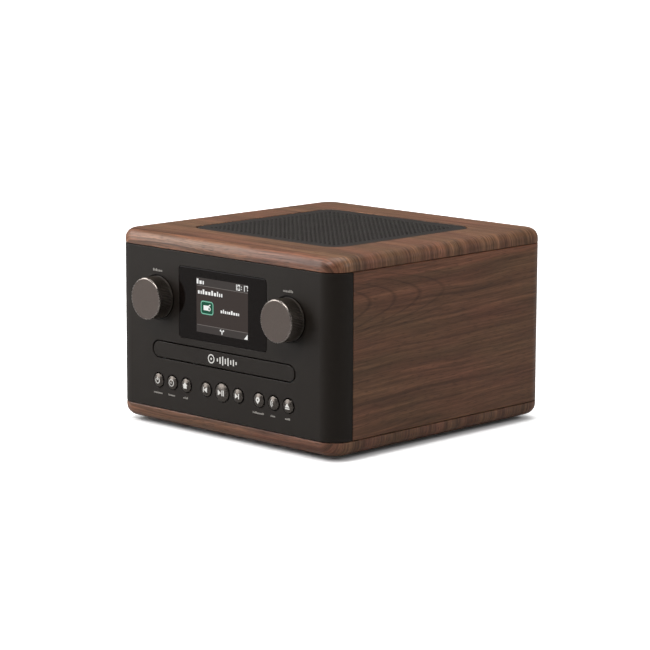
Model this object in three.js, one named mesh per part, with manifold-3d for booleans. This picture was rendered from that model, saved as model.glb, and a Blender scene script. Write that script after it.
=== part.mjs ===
// Tabletop digital radio with a disc drawer: a wood cabinet with a black front, two knobs, nine keys,
// a colour display, a disc player, two speakers that fire upwards, and a telescopic aerial at the back.
// Millimetres, +Z up. The front faces -Y. The origin is on the surface that the feet stand on, at the
// centre of the bounding box: the knobs stand out in front by as much as the aerial does behind.
import * as THREE from "three";
import { mergeVertices } from "three/addons/utils/BufferGeometryUtils.js";
import Module from "manifold-3d";

const wasm = await Module();
wasm.setup();

// ---------------------------------------------------------------- driving dimensions
const gap = 0.3; // between pieces that touch
const seam = 0.5; // the shadow line between visible cabinet pieces

const width = 244;
const depth = 246;
const cornerRadius = 17;
const footHeight = 4;
const baseThickness = 11.2;
const bandHeight = 130.2;
const topThickness = 11.4;
const baseEdgeRadius = 8.7;
const topEdgeRadius = 8.2;

const frontY = -depth / 2;
const backY = depth / 2;
const baseTop = footHeight + baseThickness;
const bandTop = baseTop + bandHeight;
const topZ = bandTop + topThickness;

const sideThickness = 9;
const frontThickness = 3;
const frontWrap = 19.4; // how far the black front reaches round onto the sides
const rearThickness = 3;

const grilleOpening = 163.6;
const grilleCorner = 15;
const grilleLedge = 4;
const grilleRecess = 0.3;
const grilleThickness = 1.6;
const slotPitch = 10;
const slotWidth = 4;
const slotField = 140;

const windowWidth = 98.2;
const windowHeight = 57.4;
const windowZ = 105.1;
const windowCorner = 3;
const lensThickness = 2;
const screenWidth = 57.6; // the picture area of a 2.8 inch display
const screenHeight = 43.2;

const knobX = 73;
const knobZ = 105.7;
const knobRadius = 16.8;
const knobReach = 14; // from the front's face to the knob's face
const knobWellRadius = 18;
const knobWellDepth = 1.5;
const shaftRadius = 3;
const bushRadius = 4.6;

const keyZ = 38.4;
const keyRadius = 5.5;
const playKeyRadius = 7.35;
const keyGap = 0.75;
const keyCollar = keyGap + 0.8; // how far the collar behind the front stands out round a key
const keyReach = 1.7;
const keyTravel = 0.8;
const stemRadius = 1.8;

const drawerZ = 63.7;
const drawerFrontWidth = 158.4;
const drawerFrontHeight = 12.5;
const drawerGap = 1;
const clipX = 60;
const clipHalfWidth = 5;
const clipReach = 8; // from the front's face to the clips' ends

const trayWidth = 140;
const trayLength = 155.5;
const trayTop = 67.4;
const discFloor = trayTop - 5;
const smallDiscFloor = discFloor - 1;
const trayUnderside = smallDiscFloor - 1.8;
const discRadius = 60.8; // the pocket of a 120 mm disc
const smallDiscRadius = 40.8; // the pocket of an 80 mm disc
const discY = -52;

const toothModule = 1.5;
const gearTeeth = 14;
const gearY = -105;
const rackX = -58;
const rackHeight = 2.6;
const addendum = 0.8 * toothModule;
const dedendum = 1.1 * toothModule;
const backlash = 0.2;
const pressureAngle = THREE.MathUtils.degToRad(20);

const frameHalfWidth = 74;
const frameWall = 3.6;
const frameFloor = 44;
const frameTop = 76;
const deckHingeY = 60;
const deckHingeZ = 52;
const deckDrop = THREE.MathUtils.degToRad(5); // how far the pickup deck hangs down while no disc is clamped

const driverX = 38.6;
const driverRadius = 38.4;
const baffleHole = 33.8;
const baffleTop = bandTop - gap;

const aerialX = -80;
const aerialZ = 128;
const aerialY = backY + 10; // the elbow's axis
const mastLength = 132;
const elbowPinRadius = 1.4;

const FINE = 24; // sides of a knob
const COARSE = 16; // sides of a speaker or a foot
const SMALL = 12; // sides of a key or a mast

// ---------------------------------------------------------------- materials
const material = (color, roughness, metalness = 0) =>
  new THREE.MeshStandardMaterial({ color, roughness, metalness });
const walnut = material(0x7f5a45, 0.5);
const blackPlastic = material(0x35322f, 0.6);
const glass = material(0x0c0b0b, 0.08);
const grilleMetal = material(0x43423f, 0.55, 0.4);
const knobMetal = material(0x5f5753, 0.4, 0.6);
const keyMetal = material(0x6b6662, 0.35, 0.5);
const circuitBoard = material(0x1d4a2c, 0.55);
const steel = material(0xb4b6b8, 0.3, 1);
const chrome = material(0xd8dadc, 0.12, 1);
const paper = material(0x1a1a1a, 0.85);
const rubber = material(0x141414, 0.9);
const whitePlastic = material(0xd9d6cf, 0.5);
const greyPlastic = material(0x8a8c8c, 0.5);
const brass = material(0xb5923f, 0.3, 1);

// ---------------------------------------------------------------- shapes
const group = new THREE.Group();

/** A closed three.js geometry as a solid that can be cut and joined. */
function solid(geometry) {
  const bare = geometry.clone();
  bare.deleteAttribute("normal");
  bare.deleteAttribute("uv");
  const merged = mergeVertices(bare, 1e-4);
  return new wasm.Manifold(
    new wasm.Mesh({
      numProp: 3,
      vertProperties: new Float32Array(merged.attributes.position.array),
      triVerts: new Uint32Array(merged.index.array),
    }),
  );
}

const join = (...geometries) => geometries.map(asSolid).reduce((sum, next) => sum.add(next));
const cut = (from, ...tools) =>
  tools.map(asSolid).reduce((rest, tool) => rest.subtract(tool), asSolid(from));
const asSolid = (shape) => (shape.isBufferGeometry ? solid(shape) : shape);

/** A solid back as a three.js geometry. */
function geometryOf(shape) {
  const made = shape.getMesh();
  const positions = new Float32Array(made.numVert * 3);
  for (let i = 0; i < made.numVert; i++) {
    positions.set(made.vertProperties.subarray(i * made.numProp, i * made.numProp + 3), i * 3);
  }
  const geometry = new THREE.BufferGeometry();
  geometry.setAttribute("position", new THREE.BufferAttribute(positions, 3));
  geometry.setIndex(new THREE.BufferAttribute(made.triVerts, 1));
  return geometry;
}

/** Adds one named piece to the object, or to a group inside it. */
function piece(name, shape, finish, parent = group) {
  const geometry = shape.isBufferGeometry ? shape : geometryOf(shape);
  const made = new THREE.Mesh(geometry, finish);
  made.name = name;
  parent.add(made);
  return made;
}

const box = (x0, x1, y0, y1, z0, z1) =>
  new THREE.BoxGeometry(x1 - x0, y1 - y0, z1 - z0).translate(
    (x0 + x1) / 2,
    (y0 + y1) / 2,
    (z0 + z1) / 2,
  );

/** A rounded rectangle about (x, y). */
function roundedRectangle(w, h, r, x = 0, y = 0) {
  const shape = new THREE.Shape();
  const [right, up] = [w / 2 - r, h / 2 - r];
  shape.absarc(x + right, y - up, r, -Math.PI / 2, 0);
  shape.absarc(x + right, y + up, r, 0, Math.PI / 2);
  shape.absarc(x - right, y + up, r, Math.PI / 2, Math.PI);
  shape.absarc(x - right, y - up, r, Math.PI, Math.PI * 1.5);
  return shape;
}

function circle(r, x = 0, y = 0) {
  const shape = new THREE.Shape();
  shape.absarc(x, y, r, 0, Math.PI * 2);
  return shape;
}

/** A plan drawn in X and Y, raised from z0 to z1. */
const raise = (shape, z0, z1, curveSegments = 5) =>
  new THREE.ExtrudeGeometry(shape, { depth: z1 - z0, bevelEnabled: false, curveSegments })
    .translate(0, 0, z0);

/** A front view drawn in X and Z, pushed back from y0 to y1. */
const push = (shape, y0, y1, curveSegments = 5) =>
  new THREE.ExtrudeGeometry(shape, { depth: y1 - y0, bevelEnabled: false, curveSegments })
    .rotateX(Math.PI / 2)
    .translate(0, y1, 0);

/** A profile of [radius, height] pairs, turned about a vertical axis at (x, y). */
const turnZ = (profile, x, y, sides) =>
  new THREE.LatheGeometry(profile.map(([r, z]) => new THREE.Vector2(r, z)), sides)
    .rotateX(Math.PI / 2)
    .translate(x, y, 0);

/** A profile of [radius, y] pairs, turned about an axis along Y at (x, z). */
const turnY = (profile, x, z, sides) =>
  new THREE.LatheGeometry(profile.map(([r, y]) => new THREE.Vector2(r, y)), sides).translate(x, 0, z);

const pinZ = (r, x, y, z0, z1, sides = SMALL) => turnZ([[0, z0], [r, z0], [r, z1], [0, z1]], x, y, sides);
const pinY = (r, x, z, y0, y1, sides = SMALL) => turnY([[0, y0], [r, y0], [r, y1], [0, y1]], x, z, sides);
const pinX = (r, y, z, x0, x1, sides = SMALL) =>
  new THREE.CylinderGeometry(r, r, x1 - x0, sides).rotateZ(Math.PI / 2).translate((x0 + x1) / 2, y, z);

// ---------------------------------------------------------------- cabinet
/** A board with round corners in plan and one round-over, along its upper edge or its lower edge. */
function board(z0, z1, edge, roundedUp) {
  const thickness = z1 - z0;
  const plan = roundedRectangle(width, depth, cornerRadius);
  const full = new THREE.ExtrudeGeometry(plan, {
    depth: thickness,
    bevelThickness: edge,
    bevelSize: edge,
    bevelOffset: -edge,
    bevelSegments: 4,
    curveSegments: 5,
  }).translate(0, 0, roundedUp ? z0 - edge : z0 + edge);
  const far = width;
  return roundedUp
    ? cut(full, box(-far, far, -far, far, z0 - far, z0))
    : cut(full, box(-far, far, -far, far, z1, z1 + far));
}

function topPanel() {
  const ledgeZ = topZ - grilleRecess - grilleThickness - gap;
  const inner = grilleOpening - 2 * grilleLedge;
  return cut(
    board(bandTop, topZ, topEdgeRadius, true),
    raise(roundedRectangle(grilleOpening, grilleOpening, grilleCorner), ledgeZ, topZ + 1),
    raise(roundedRectangle(inner, inner, grilleCorner - grilleLedge), bandTop - 1, topZ),
  );
}

const bottomPanel = () => board(footHeight, baseTop, baseEdgeRadius, false);

/** The wood side, which turns round the back corner. */
function sidePanel(sign) {
  const outer = width / 2;
  const inner = outer - sideThickness;
  const [cx, cy] = [outer - cornerRadius, backY - cornerRadius];
  const innerRadius = cornerRadius - sideThickness;
  const plan = new THREE.Shape();
  plan.moveTo(inner, frontY + frontWrap + seam);
  plan.lineTo(outer, frontY + frontWrap + seam);
  plan.absarc(cx, cy, cornerRadius, 0, Math.PI / 2);
  plan.absarc(cx, cy, innerRadius, Math.PI / 2, 0, true);
  const right = raise(plan, baseTop + seam, bandTop - seam);
  return sign > 0 ? right : mirrorX(right);
}

/** An extrusion mirrored left to right, with its faces turned back to point outwards. */
function mirrorX(geometry) {
  const mirrored = geometry.clone().scale(-1, 1, 1);
  const p = mirrored.attributes.position;
  for (let i = 0; i < p.count; i += 3) {
    const [x, y, z] = [p.getX(i + 1), p.getY(i + 1), p.getZ(i + 1)];
    p.setXYZ(i + 1, p.getX(i + 2), p.getY(i + 2), p.getZ(i + 2));
    p.setXYZ(i + 2, x, y, z);
  }
  return mirrored;
}

/** Where each key sits across the front, and how large it is. */
const keys = [
  ["key_standby", -73, keyRadius],
  ["key_source", -57, keyRadius],
  ["key_home", -41, keyRadius],
  ["key_previous", -18, keyRadius],
  ["key_play_pause", 0, playKeyRadius],
  ["key_next", 18, keyRadius],
  ["key_presets", 41, keyRadius],
  ["key_pair", 57, keyRadius],
  ["key_eject", 73, keyRadius],
];

/** The black front: one moulding, bent round both front corners. */
function frontPanel() {
  const outer = width / 2;
  const inner = outer - frontThickness;
  const cx = outer - cornerRadius;
  const cy = frontY + cornerRadius;
  const end = frontY + frontWrap;
  const innerRadius = cornerRadius - frontThickness;
  const plan = new THREE.Shape();
  plan.moveTo(-outer, end);
  plan.absarc(-cx, cy, cornerRadius, Math.PI, Math.PI * 1.5);
  plan.absarc(cx, cy, cornerRadius, -Math.PI / 2, 0);
  plan.lineTo(outer, end);
  plan.lineTo(inner, end);
  plan.absarc(cx, cy, innerRadius, 0, -Math.PI / 2, true);
  plan.absarc(-cx, cy, innerRadius, -Math.PI / 2, -Math.PI, true);
  plan.lineTo(-inner, end);
  const through = frontY + frontThickness + 1;
  const seat = frontY + lensThickness + gap;
  const tools = [
    push(roundedRectangle(windowWidth, windowHeight, windowCorner, 0, windowZ), frontY - 1, seat, 4),
    push(roundedRectangle(screenWidth + 8, screenHeight + 6, 2, 0, windowZ), frontY - 1, through, 2),
    drawerOutline(frontY - 1, through, drawerGap),
  ];
  for (const sign of [-1, 1]) {
    tools.push(pinY(knobWellRadius, sign * knobX, knobZ, frontY - 1, frontY + knobWellDepth, FINE));
    tools.push(pinY(bushRadius + gap, sign * knobX, knobZ, frontY - 1, through, COARSE));
  }
  for (const [, x, r] of keys) {
    tools.push(pinY(r + keyGap, x, keyZ, frontY - 1, through, SMALL));
  }
  return cut(raise(plan, baseTop + seam, bandTop - seam), ...tools);
}

/** The drawer front's pill shape, grown by a margin on every side. */
function drawerOutline(y0, y1, margin = 0) {
  const w = drawerFrontWidth + 2 * margin;
  const h = drawerFrontHeight + 2 * margin;
  const almostHalf = h / 2 - 0.01; // the ends keep a sliver of straight edge between their two quarters
  return push(roundedRectangle(w, h, almostHalf, 0, drawerZ), y0, y1, 8);
}

// ---------------------------------------------------------------- back
const rearHalfWidth = width / 2 - cornerRadius - seam;
const rearFace = backY - 0.3;
const rearInner = rearFace - rearThickness;
const portX = 55;
const portZ = 95;
const portRadius = 16;
const portLength = 42;
const jackZ = 31;
const dcJackX = 78;
const audioJackX = 48;
const audioJackPitch = 16;
const dcBarrelRadius = 4.6;
const audioBarrelRadius = 3.6;
const aerialStubRadius = 5.1;
const screwRadius = 1.5;
const audioJackXs = [-1, 1].map((sign) => audioJackX + (sign * audioJackPitch) / 2);
const vent = { left: -74, right: -10, lowest: 74, pitch: 8, height: 3, count: 6 };

/** The black back, with its vent slots, the reflex port's tube and the holes for the sockets. */
function rearPanel() {
  const plate = box(-rearHalfWidth, rearHalfWidth, rearInner, rearFace, baseTop + seam, bandTop - seam);
  const tube = turnY(
    [
      [portRadius, rearInner - portLength],
      [portRadius + 2.5, rearInner - portLength],
      [portRadius + 2.5, rearInner + 1],
      [portRadius, rearInner + 1],
      [portRadius, rearInner - portLength],
    ],
    portX,
    portZ,
    COARSE,
  );
  const [inside, outside] = [rearInner - 1, rearFace + 1];
  const slots = [];
  for (let row = 0; row < vent.count; row++) {
    const z = vent.lowest + row * vent.pitch;
    slots.push(box(vent.left, vent.right, inside, outside, z - vent.height / 2, z + vent.height / 2));
  }
  const hole = (r, x, z) => pinY(r, x, z, inside, outside, COARSE);
  return cut(
    join(plate, tube),
    pinY(portRadius, portX, portZ, inside - portLength, outside, COARSE),
    hole(aerialStubRadius + 2 * gap, aerialX, aerialZ),
    hole(dcBarrelRadius + gap, dcJackX, jackZ),
    ...audioJackXs.map((x) => hole(audioBarrelRadius + gap, x, jackZ)),
    ...rearScrews.map(([, x, z]) => hole(screwRadius + gap, x, z)),
    ...slots,
  );
}

const rearScrews = [
  ["rear_screw_left", -98, 23],
  ["rear_screw_right", 98, 23],
];

/** A pan-head screw with a cross recess, driven from the back. */
function rearScrew(x, z) {
  const head = rearFace + gap;
  const shank = turnY(
    [
      [0, head - 14],
      [screwRadius, head - 12],
      [screwRadius, head],
      [3.2, head],
      [2.9, head + 1.3],
      [1.8, head + 1.9],
      [0, head + 2],
    ],
    x,
    z,
    SMALL,
  );
  const blade = (w, h) => box(x - w / 2, x + w / 2, head + 0.8, head + 3, z - h / 2, z + h / 2);
  return cut(shank, blade(3.4, 0.8), blade(0.8, 3.4));
}

// ---------------------------------------------------------------- display and controls
const lens = () =>
  push(
    roundedRectangle(windowWidth - 2 * gap, windowHeight - 2 * gap, windowCorner - gap, 0, windowZ),
    frontY,
    frontY + lensThickness,
    4,
  );

/** The liquid-crystal module: its frame, with the picture area standing forward. */
function displayModule() {
  const back = frontY + 7.2;
  const front = frontY + frontThickness + gap;
  const half = [screenWidth / 2, screenHeight / 2];
  const glassFront = frontY + lensThickness + 2 * gap;
  return join(
    box(-half[0] - 6, half[0] + 6, front, back, windowZ - half[1] - 5, windowZ + half[1] + 4),
    box(-half[0], half[0], glassFront, front + 1, windowZ - half[1], windowZ + half[1]),
  );
}

const boardFront = frontY + 12; // the front of the display board
const boardThickness = 1.6;

function displayBoard() {
  const plate = box(-100, 100, boardFront, boardFront + boardThickness, 79.5, 135);
  const posts = [-50, 50].map((x) => box(x - 3, x + 3, boardFront - 3.6, boardFront + 0.5, 84, 90));
  const chips = [
    box(-30, -12, boardFront + 1, boardFront + 4, 96, 114),
    box(8, 32, boardFront + 1, boardFront + 3, 100, 110),
    box(-6, 6, boardFront + 1, boardFront + 7, 118, 124),
  ];
  return join(plate, ...posts, ...chips);
}

const keyBoardFront = frontY + 9.6;
const plungerReach = 1.6; // how far each switch's plunger stands in front of the key board

/** The key board, with a press switch behind each key. */
function keyBoard() {
  const plate = box(-88, 88, keyBoardFront, keyBoardFront + boardThickness, 28, 43.4);
  const switches = keys.flatMap(([, x]) => [
    box(x - 3, x + 3, keyBoardFront - 1.2, keyBoardFront + 0.5, keyZ - 3, keyZ + 3),
    box(x - 1.4, x + 1.4, keyBoardFront - plungerReach, keyBoardFront, keyZ - 1.4, keyZ + 1.4),
  ]);
  return join(plate, ...switches);
}

/** A key: a domed cap, a collar that holds it behind the front, and a stem that meets its switch. */
function key(x, r) {
  const face = frontY - keyReach;
  const collar = frontY + frontThickness + gap;
  const stem = keyBoardFront - plungerReach - gap - keyTravel;
  return turnY(
    [
      [0, face],
      [r * 0.55, face + 0.25],
      [r - 0.5, face + 0.9],
      [r, face + 1.5],
      [r, collar],
      [r + keyCollar, collar],
      [r + keyCollar, collar + 1],
      [stemRadius, collar + 1],
      [stemRadius, stem],
      [0, stem],
    ],
    x,
    keyZ,
    SMALL,
  );
}

const knobBack = frontY + knobWellDepth - 1.1;
const knobFace = frontY - knobReach;
const boreEnd = knobFace + 3.5;

/** A knob: a shell with a central boss, bored for the encoder's shaft. */
function knob(x) {
  const shell = turnY(
    [
      [0, knobFace],
      [knobRadius - 1.4, knobFace],
      [knobRadius - 0.6, knobFace + 0.8],
      [knobRadius, knobBack - 1.5],
      [knobRadius, knobBack],
      [knobRadius - 2.4, knobBack],
      [knobRadius - 2.4, knobFace + 3],
      [6, knobFace + 3],
      [6, frontY - 2.8],
      [0, frontY - 2.8],
    ],
    x,
    knobZ,
    FINE,
  );
  return cut(shell, dShaft(x, shaftRadius + gap, boreEnd, frontY));
}

/** A shaft, flat on one side as far back as the knob reaches. */
function dShaft(x, r, y0, y1) {
  const flat = box(x - r, x + r, y0 - 1, frontY - 2, knobZ + r * 0.62, knobZ + 2 * r);
  return cut(pinY(r, x, knobZ, y0, y1, COARSE), flat);
}

const encoderFront = frontY + frontThickness + gap;
// The volume shaft is one with its encoder's wheel. The select shaft turns its wheel and slides in it.
const shaft = (x) => dShaft(x, shaftRadius, boreEnd + gap, encoderFront + 5);
const wheel = (x, bore) =>
  cut(
    pinY(5, x, knobZ, encoderFront + 1.6, encoderFront + 3.6, COARSE),
    pinY(bore, x, knobZ, encoderFront, encoderFront + 5, COARSE),
  );

/** A rotary encoder: a hollow can on the display board, with its threaded bush through the front. */
function encoder(x) {
  const back = boardFront - gap;
  return cut(
    join(
      box(x - 6.2, x + 6.2, encoderFront, back, knobZ - 6.7, knobZ + 6.7),
      pinY(bushRadius, x, knobZ, frontY - 2.2, encoderFront + 0.5, COARSE),
    ),
    pinY(shaftRadius + gap, x, knobZ, frontY - 4, encoderFront + 2, COARSE),
    pinY(5 + gap, x, knobZ, encoderFront + 1.6 - gap, encoderFront + 3.6 + gap, COARSE),
    pinY(shaftRadius + gap, x, knobZ, encoderFront + 3, encoderFront + 6.4, COARSE),
  );
}

// ---------------------------------------------------------------- disc drawer
const trayFront = frontY + frontThickness + gap;
const trayBack = trayFront + trayLength;

/** A clip that joins the drawer's front to the tray, or its socket, which is larger by a margin. */
const clip = (x, start, margin) =>
  box(
    x - clipHalfWidth - margin,
    x + clipHalfWidth + margin,
    start,
    frontY + clipReach + margin,
    trayUnderside + 0.9 - margin,
    trayUnderside + 2.3 + margin,
  );

/** The drawer's front, which fills its opening flush, with two clips that hold the tray. */
function drawerFront() {
  const clips = [-clipX, clipX].map((x) => clip(x, frontY + 2, 0));
  return join(drawerOutline(frontY, frontY + frontThickness), ...clips);
}

/** The disc tray: two pockets, the slot for the spindle and the pickup, and the rack beneath. */
function discTray() {
  const half = trayWidth / 2;
  const body = box(-half, half, trayFront, trayBack, trayUnderside, trayTop);
  const slotRight = 20;
  const slot = box(-slotRight, slotRight, discY - 19, discY + 66, trayUnderside - 1, trayTop + 1);
  const clipSockets = [-clipX, clipX].map((x) => clip(x, trayFront - 1, gap));
  const finger = pinZ(9, 0, trayFront + 2, trayTop - 3.4, trayTop + 1, COARSE);
  const base = cut(
    body,
    pinZ(discRadius, 0, discY, discFloor, trayTop + 1, 48),
    pinZ(smallDiscRadius, 0, discY, smallDiscFloor, trayTop + 1, 36),
    slot,
    finger,
    ...clipSockets,
  );
  return join(base, rack());
}

/** The tray's rack: straight teeth that face +X, on a bar. A tooth is level with the gear's axis at rest. */
function rack() {
  const pitch = Math.PI * toothModule;
  const slope = Math.tan(pressureAngle);
  const half = (pitch - backlash) / 4;
  const [tip, root] = [rackX + addendum, rackX - dedendum];
  const last = Math.floor((trayBack - 3 - gearY) / pitch);
  const first = -2;
  const outline = new THREE.Shape();
  outline.moveTo(root - 3, gearY + (first - 0.5) * pitch);
  for (let tooth = first; tooth <= last; tooth++) {
    const y = gearY + tooth * pitch;
    outline.lineTo(root, y - half - dedendum * slope);
    outline.lineTo(tip, y - half + addendum * slope);
    outline.lineTo(tip, y + half - addendum * slope);
    outline.lineTo(root, y + half + dedendum * slope);
  }
  outline.lineTo(root - 3, gearY + (last + 0.5) * pitch);
  return raise(outline, trayUnderside - rackHeight, trayUnderside + 0.5);
}

/** An involute gear outline about (x, y), with a gap between two teeth facing -X. */
function gearOutline(x, y) {
  const pitchRadius = (toothModule * gearTeeth) / 2;
  const baseRadius = pitchRadius * Math.cos(pressureAngle);
  const involute = (r) => {
    const t = Math.sqrt(Math.max(0, (r / baseRadius) ** 2 - 1));
    return t - Math.atan(t);
  };
  const halfAtPitch = (Math.PI * toothModule - backlash) / 4;
  const halfAngle = (r) => halfAtPitch / pitchRadius + involute(pitchRadius) - involute(r);
  const flank = [pitchRadius - dedendum, pitchRadius, pitchRadius + addendum];
  const points = [];
  for (let tooth = 0; tooth < gearTeeth; tooth++) {
    const middle = Math.PI + ((tooth + 0.5) * 2 * Math.PI) / gearTeeth;
    const side = (r, sign) => {
      const angle = middle + sign * halfAngle(r);
      return new THREE.Vector2(x + r * Math.cos(angle), y + r * Math.sin(angle));
    };
    points.push(...flank.map((r) => side(r, -1)));
    points.push(...flank.map((r) => side(r, 1)).reverse());
  }
  return new THREE.Shape(points);
}

const gearX = rackX + (toothModule * gearTeeth) / 2;
const pulleyZ = 50;
const motorX = gearX + 30;
const motorY = gearY + 4;
const motorShaftRadius = 1;
const postRadius = 2.1; // the post that the gear turns on
const trunnionRadius = 2; // the pickup deck's pivots

/** A pulley with a V groove on a vertical axis, as part of a turned profile. */
const groove = (r) => [
  [r, pulleyZ - 1.6],
  [r - 1.2, pulleyZ],
  [r, pulleyZ + 1.6],
];

/** The gear that drives the tray, with its belt pulley below, bored for the post in the frame. */
function trayGear() {
  const top = trayUnderside - gap;
  const toothed = raise(gearOutline(gearX, gearY), trayUnderside - rackHeight, top);
  const hub = turnZ(
    [
      [0, pulleyZ - 1.6],
      ...groove(7.6),
      [5, pulleyZ + 1.6],
      [5, trayUnderside - rackHeight + 0.5],
      [0, trayUnderside - rackHeight + 0.5],
    ],
    gearX,
    gearY,
    COARSE,
  );
  return cut(join(toothed, hub), pinZ(postRadius + gap, gearX, gearY, pulleyZ - 3, top + 1));
}

/** The motor's pulley, level with the gear's, with the shaft that it turns on. */
const motorPulley = () =>
  turnZ(
    [
      [0, frameFloor - 4],
      [motorShaftRadius, frameFloor - 4],
      [motorShaftRadius, pulleyZ - 1.6],
      ...groove(4),
      [0, pulleyZ + 1.6],
    ],
    motorX,
    motorY,
    COARSE,
  );

/** The loader's motor, which hangs under the frame's floor. */
function loaderMotor() {
  const top = frameFloor - gap;
  const can = turnZ([[0, top - 15], [9, top - 15], [9, top], [0, top]], motorX, motorY, COARSE);
  return cut(can, pinZ(motorShaftRadius + gap, motorX, motorY, frameFloor - 4 - gap, frameFloor));
}

/** The frame that guides the tray, carries the gear's post and holds the pickup deck's pivots. */
function loaderFrame() {
  const inner = frameHalfWidth - frameWall;
  const front = trayFront + 2;
  const back = deckHingeY + 6;
  const shell = cut(
    box(-frameHalfWidth, frameHalfWidth, front, back, frameFloor, frameTop),
    box(-inner, inner, front - 1, back - 3, frameFloor + 2, frameTop + 1),
    box(-49, 49, -90, deckHingeY - 2, frameFloor - 1, frameFloor + 3),
    pinZ(motorShaftRadius + gap, motorX, motorY, frameFloor - 1, frameFloor + 3),
  );
  const additions = [pinZ(postRadius, gearX, gearY, frameFloor + 1, trayUnderside - 1)];
  for (const sign of [-1, 1]) {
    const [near, far] = [inner - 3.4, inner + 0.5].map((x) => sign * x);
    const [x0, x1] = [Math.min(near, far), Math.max(near, far)];
    additions.push(box(x0, x1, front, back - 1, trayUnderside - 3.3, trayUnderside - gap));
    const [pivot0, pivot1] = sign > 0 ? [50, 56] : [-56, -50];
    additions.push(box(pivot0, pivot1, deckHingeY - 5, deckHingeY + 4, frameFloor + 1, deckHingeZ + 5));
  }
  return cut(join(shell, ...additions), pinX(trunnionRadius + gap, deckHingeY, deckHingeZ, -57, 57));
}

const bridgeZ = frameTop + gap;

/** The strap over the disc that holds the clamp. */
function clampBridge() {
  const strap = box(-frameHalfWidth, frameHalfWidth, discY - 15, discY + 15, bridgeZ, bridgeZ + 2);
  return cut(strap, pinZ(9, 0, discY, bridgeZ - 1, bridgeZ + 3, COARSE));
}

/** The clamp: a puck under the bridge, with a neck through it and a collar above. */
function discClamp() {
  const low = trayTop + gap;
  return turnZ(
    [
      [0, low + 3.2],
      [8.2, low + 3.2],
      [8.2, low],
      [16, low],
      [16, bridgeZ - 1.6],
      [8.6, bridgeZ - gap],
      [8.6, bridgeZ + 2 + gap],
      [12, bridgeZ + 2 + gap],
      [12, bridgeZ + 4],
      [0, bridgeZ + 4],
    ],
    0,
    discY,
    COARSE,
  );
}

// The pickup deck and all that it carries are drawn level, as they are while a disc plays, and hang
// down from the hinge at rest.
const deck = new THREE.Group();
deck.position.set(0, deckHingeY, deckHingeZ);
deck.rotation.x = deckDrop;
group.add(deck);

/** Moves a solid or geometry from the object's frame to the deck's. */
const onDeck = (shape) =>
  (shape.isBufferGeometry ? shape : geometryOf(shape)).translate(0, -deckHingeY, -deckHingeZ);

const railX = 20;
const railRadius = 1.5;
const railZ = 55;
const railFront = discY + 8;
const railBack = discY + 77;
const sledY = discY + 25;

function pickupDeck() {
  const plate = cut(
    box(-44, 44, discY - 31, deckHingeY + 2, deckHingeZ - 1.2, deckHingeZ + 0.8),
    box(-27, 27, discY + 11, discY + 74, deckHingeZ - 3, deckHingeZ + 3),
    pinZ(4, 0, discY, deckHingeZ - 3, deckHingeZ + 3, COARSE),
  );
  const brackets = [];
  for (const x of [-railX, railX]) {
    brackets.push(box(x - 3, x + 3, discY + 8.3, discY + 10.7, deckHingeZ, railZ + 2.8));
    brackets.push(box(x - 3, x + 3, discY + 74.3, discY + 76.7, deckHingeZ, railZ + 2.8));
  }
  const trunnions = pinX(trunnionRadius, deckHingeY, deckHingeZ, -53, 53);
  const sockets = [-railX, railX].map((x) => pinY(railRadius + gap, x, railZ, discY, discY + 90));
  return cut(join(plate, trunnions, ...brackets), ...sockets);
}

const spindleMotor = () =>
  cut(
    turnZ(
      [
        [0, deckHingeZ - 9],
        [12, deckHingeZ - 9],
        [13, deckHingeZ - 8],
        [13, deckHingeZ - 1.5],
        [0, deckHingeZ - 1.5],
      ],
      0,
      discY,
      COARSE,
    ),
    pinZ(1.5, 0, discY, deckHingeZ - 6, deckHingeZ),
  );

/** The turntable: the platter a disc sits on, its centring cone and the motor's shaft. */
function turntable() {
  const platter = trayTop - 1.2;
  return turnZ(
    [
      [0, deckHingeZ - 5.5],
      [1.1, deckHingeZ - 5.5],
      [1.1, platter - 9],
      [7, platter - 9],
      [7, platter - 2],
      [14, platter - 2],
      [14, platter],
      [7.4, platter],
      [6.4, platter + 2],
      [0, platter + 2],
    ],
    0,
    discY,
    COARSE,
  );
}

/** The laser pickup: a sled on two rails, with the objective lens on top. */
function laserPickup() {
  const sled = box(-25, 25, sledY - 12, sledY + 12, railZ - 3, railZ + 4);
  const lensBarrel = pinZ(3.4, 0, sledY, railZ + 3, railZ + 6.4, COARSE);
  const bores = [-railX, railX].map((x) => pinY(railRadius + gap, x, railZ, sledY - 14, sledY + 14));
  return cut(join(sled, lensBarrel), ...bores);
}

// ---------------------------------------------------------------- boards and sockets
const mainBoardZ = 21;

/** The main board, with its tuner can, heat sink and reservoir capacitors. */
function mainBoard() {
  const top = mainBoardZ + boardThickness;
  const plate = box(-70, 96, 28, rearInner - 4, mainBoardZ, top);
  const fins = [];
  for (let i = 0; i < 7; i++) {
    const x = -60 + i * 5;
    fins.push(box(x, x + 1.6, 60, 96, top, top + 17));
  }
  return join(
    plate,
    box(-62, -26, 60, 96, top - 0.5, top + 3),
    ...fins,
    box(-6, 28, 64, 104, top - 0.5, top + 6),
    pinZ(6, 50, 50, top - 0.5, top + 16, COARSE),
    pinZ(6, 66, 50, top - 0.5, top + 16, COARSE),
    box(36, 52, 76, 92, top - 0.5, top + 1.6),
  );
}

/** The power socket: a housing on the board, a barrel through the back, and the pin inside it. */
function dcJack() {
  const mouth = rearFace;
  const back = rearInner - 10;
  return join(
    cut(
      join(
        box(dcJackX - 5, dcJackX + 5, back, rearInner - gap, jackZ - 8, jackZ + 6),
        pinY(dcBarrelRadius, dcJackX, jackZ, rearInner - 1, mouth, COARSE),
      ),
      pinY(2.9, dcJackX, jackZ, back + 2, mouth + 1, COARSE),
    ),
    pinY(1, dcJackX, jackZ, back + 1, mouth - 1),
  );
}

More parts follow.
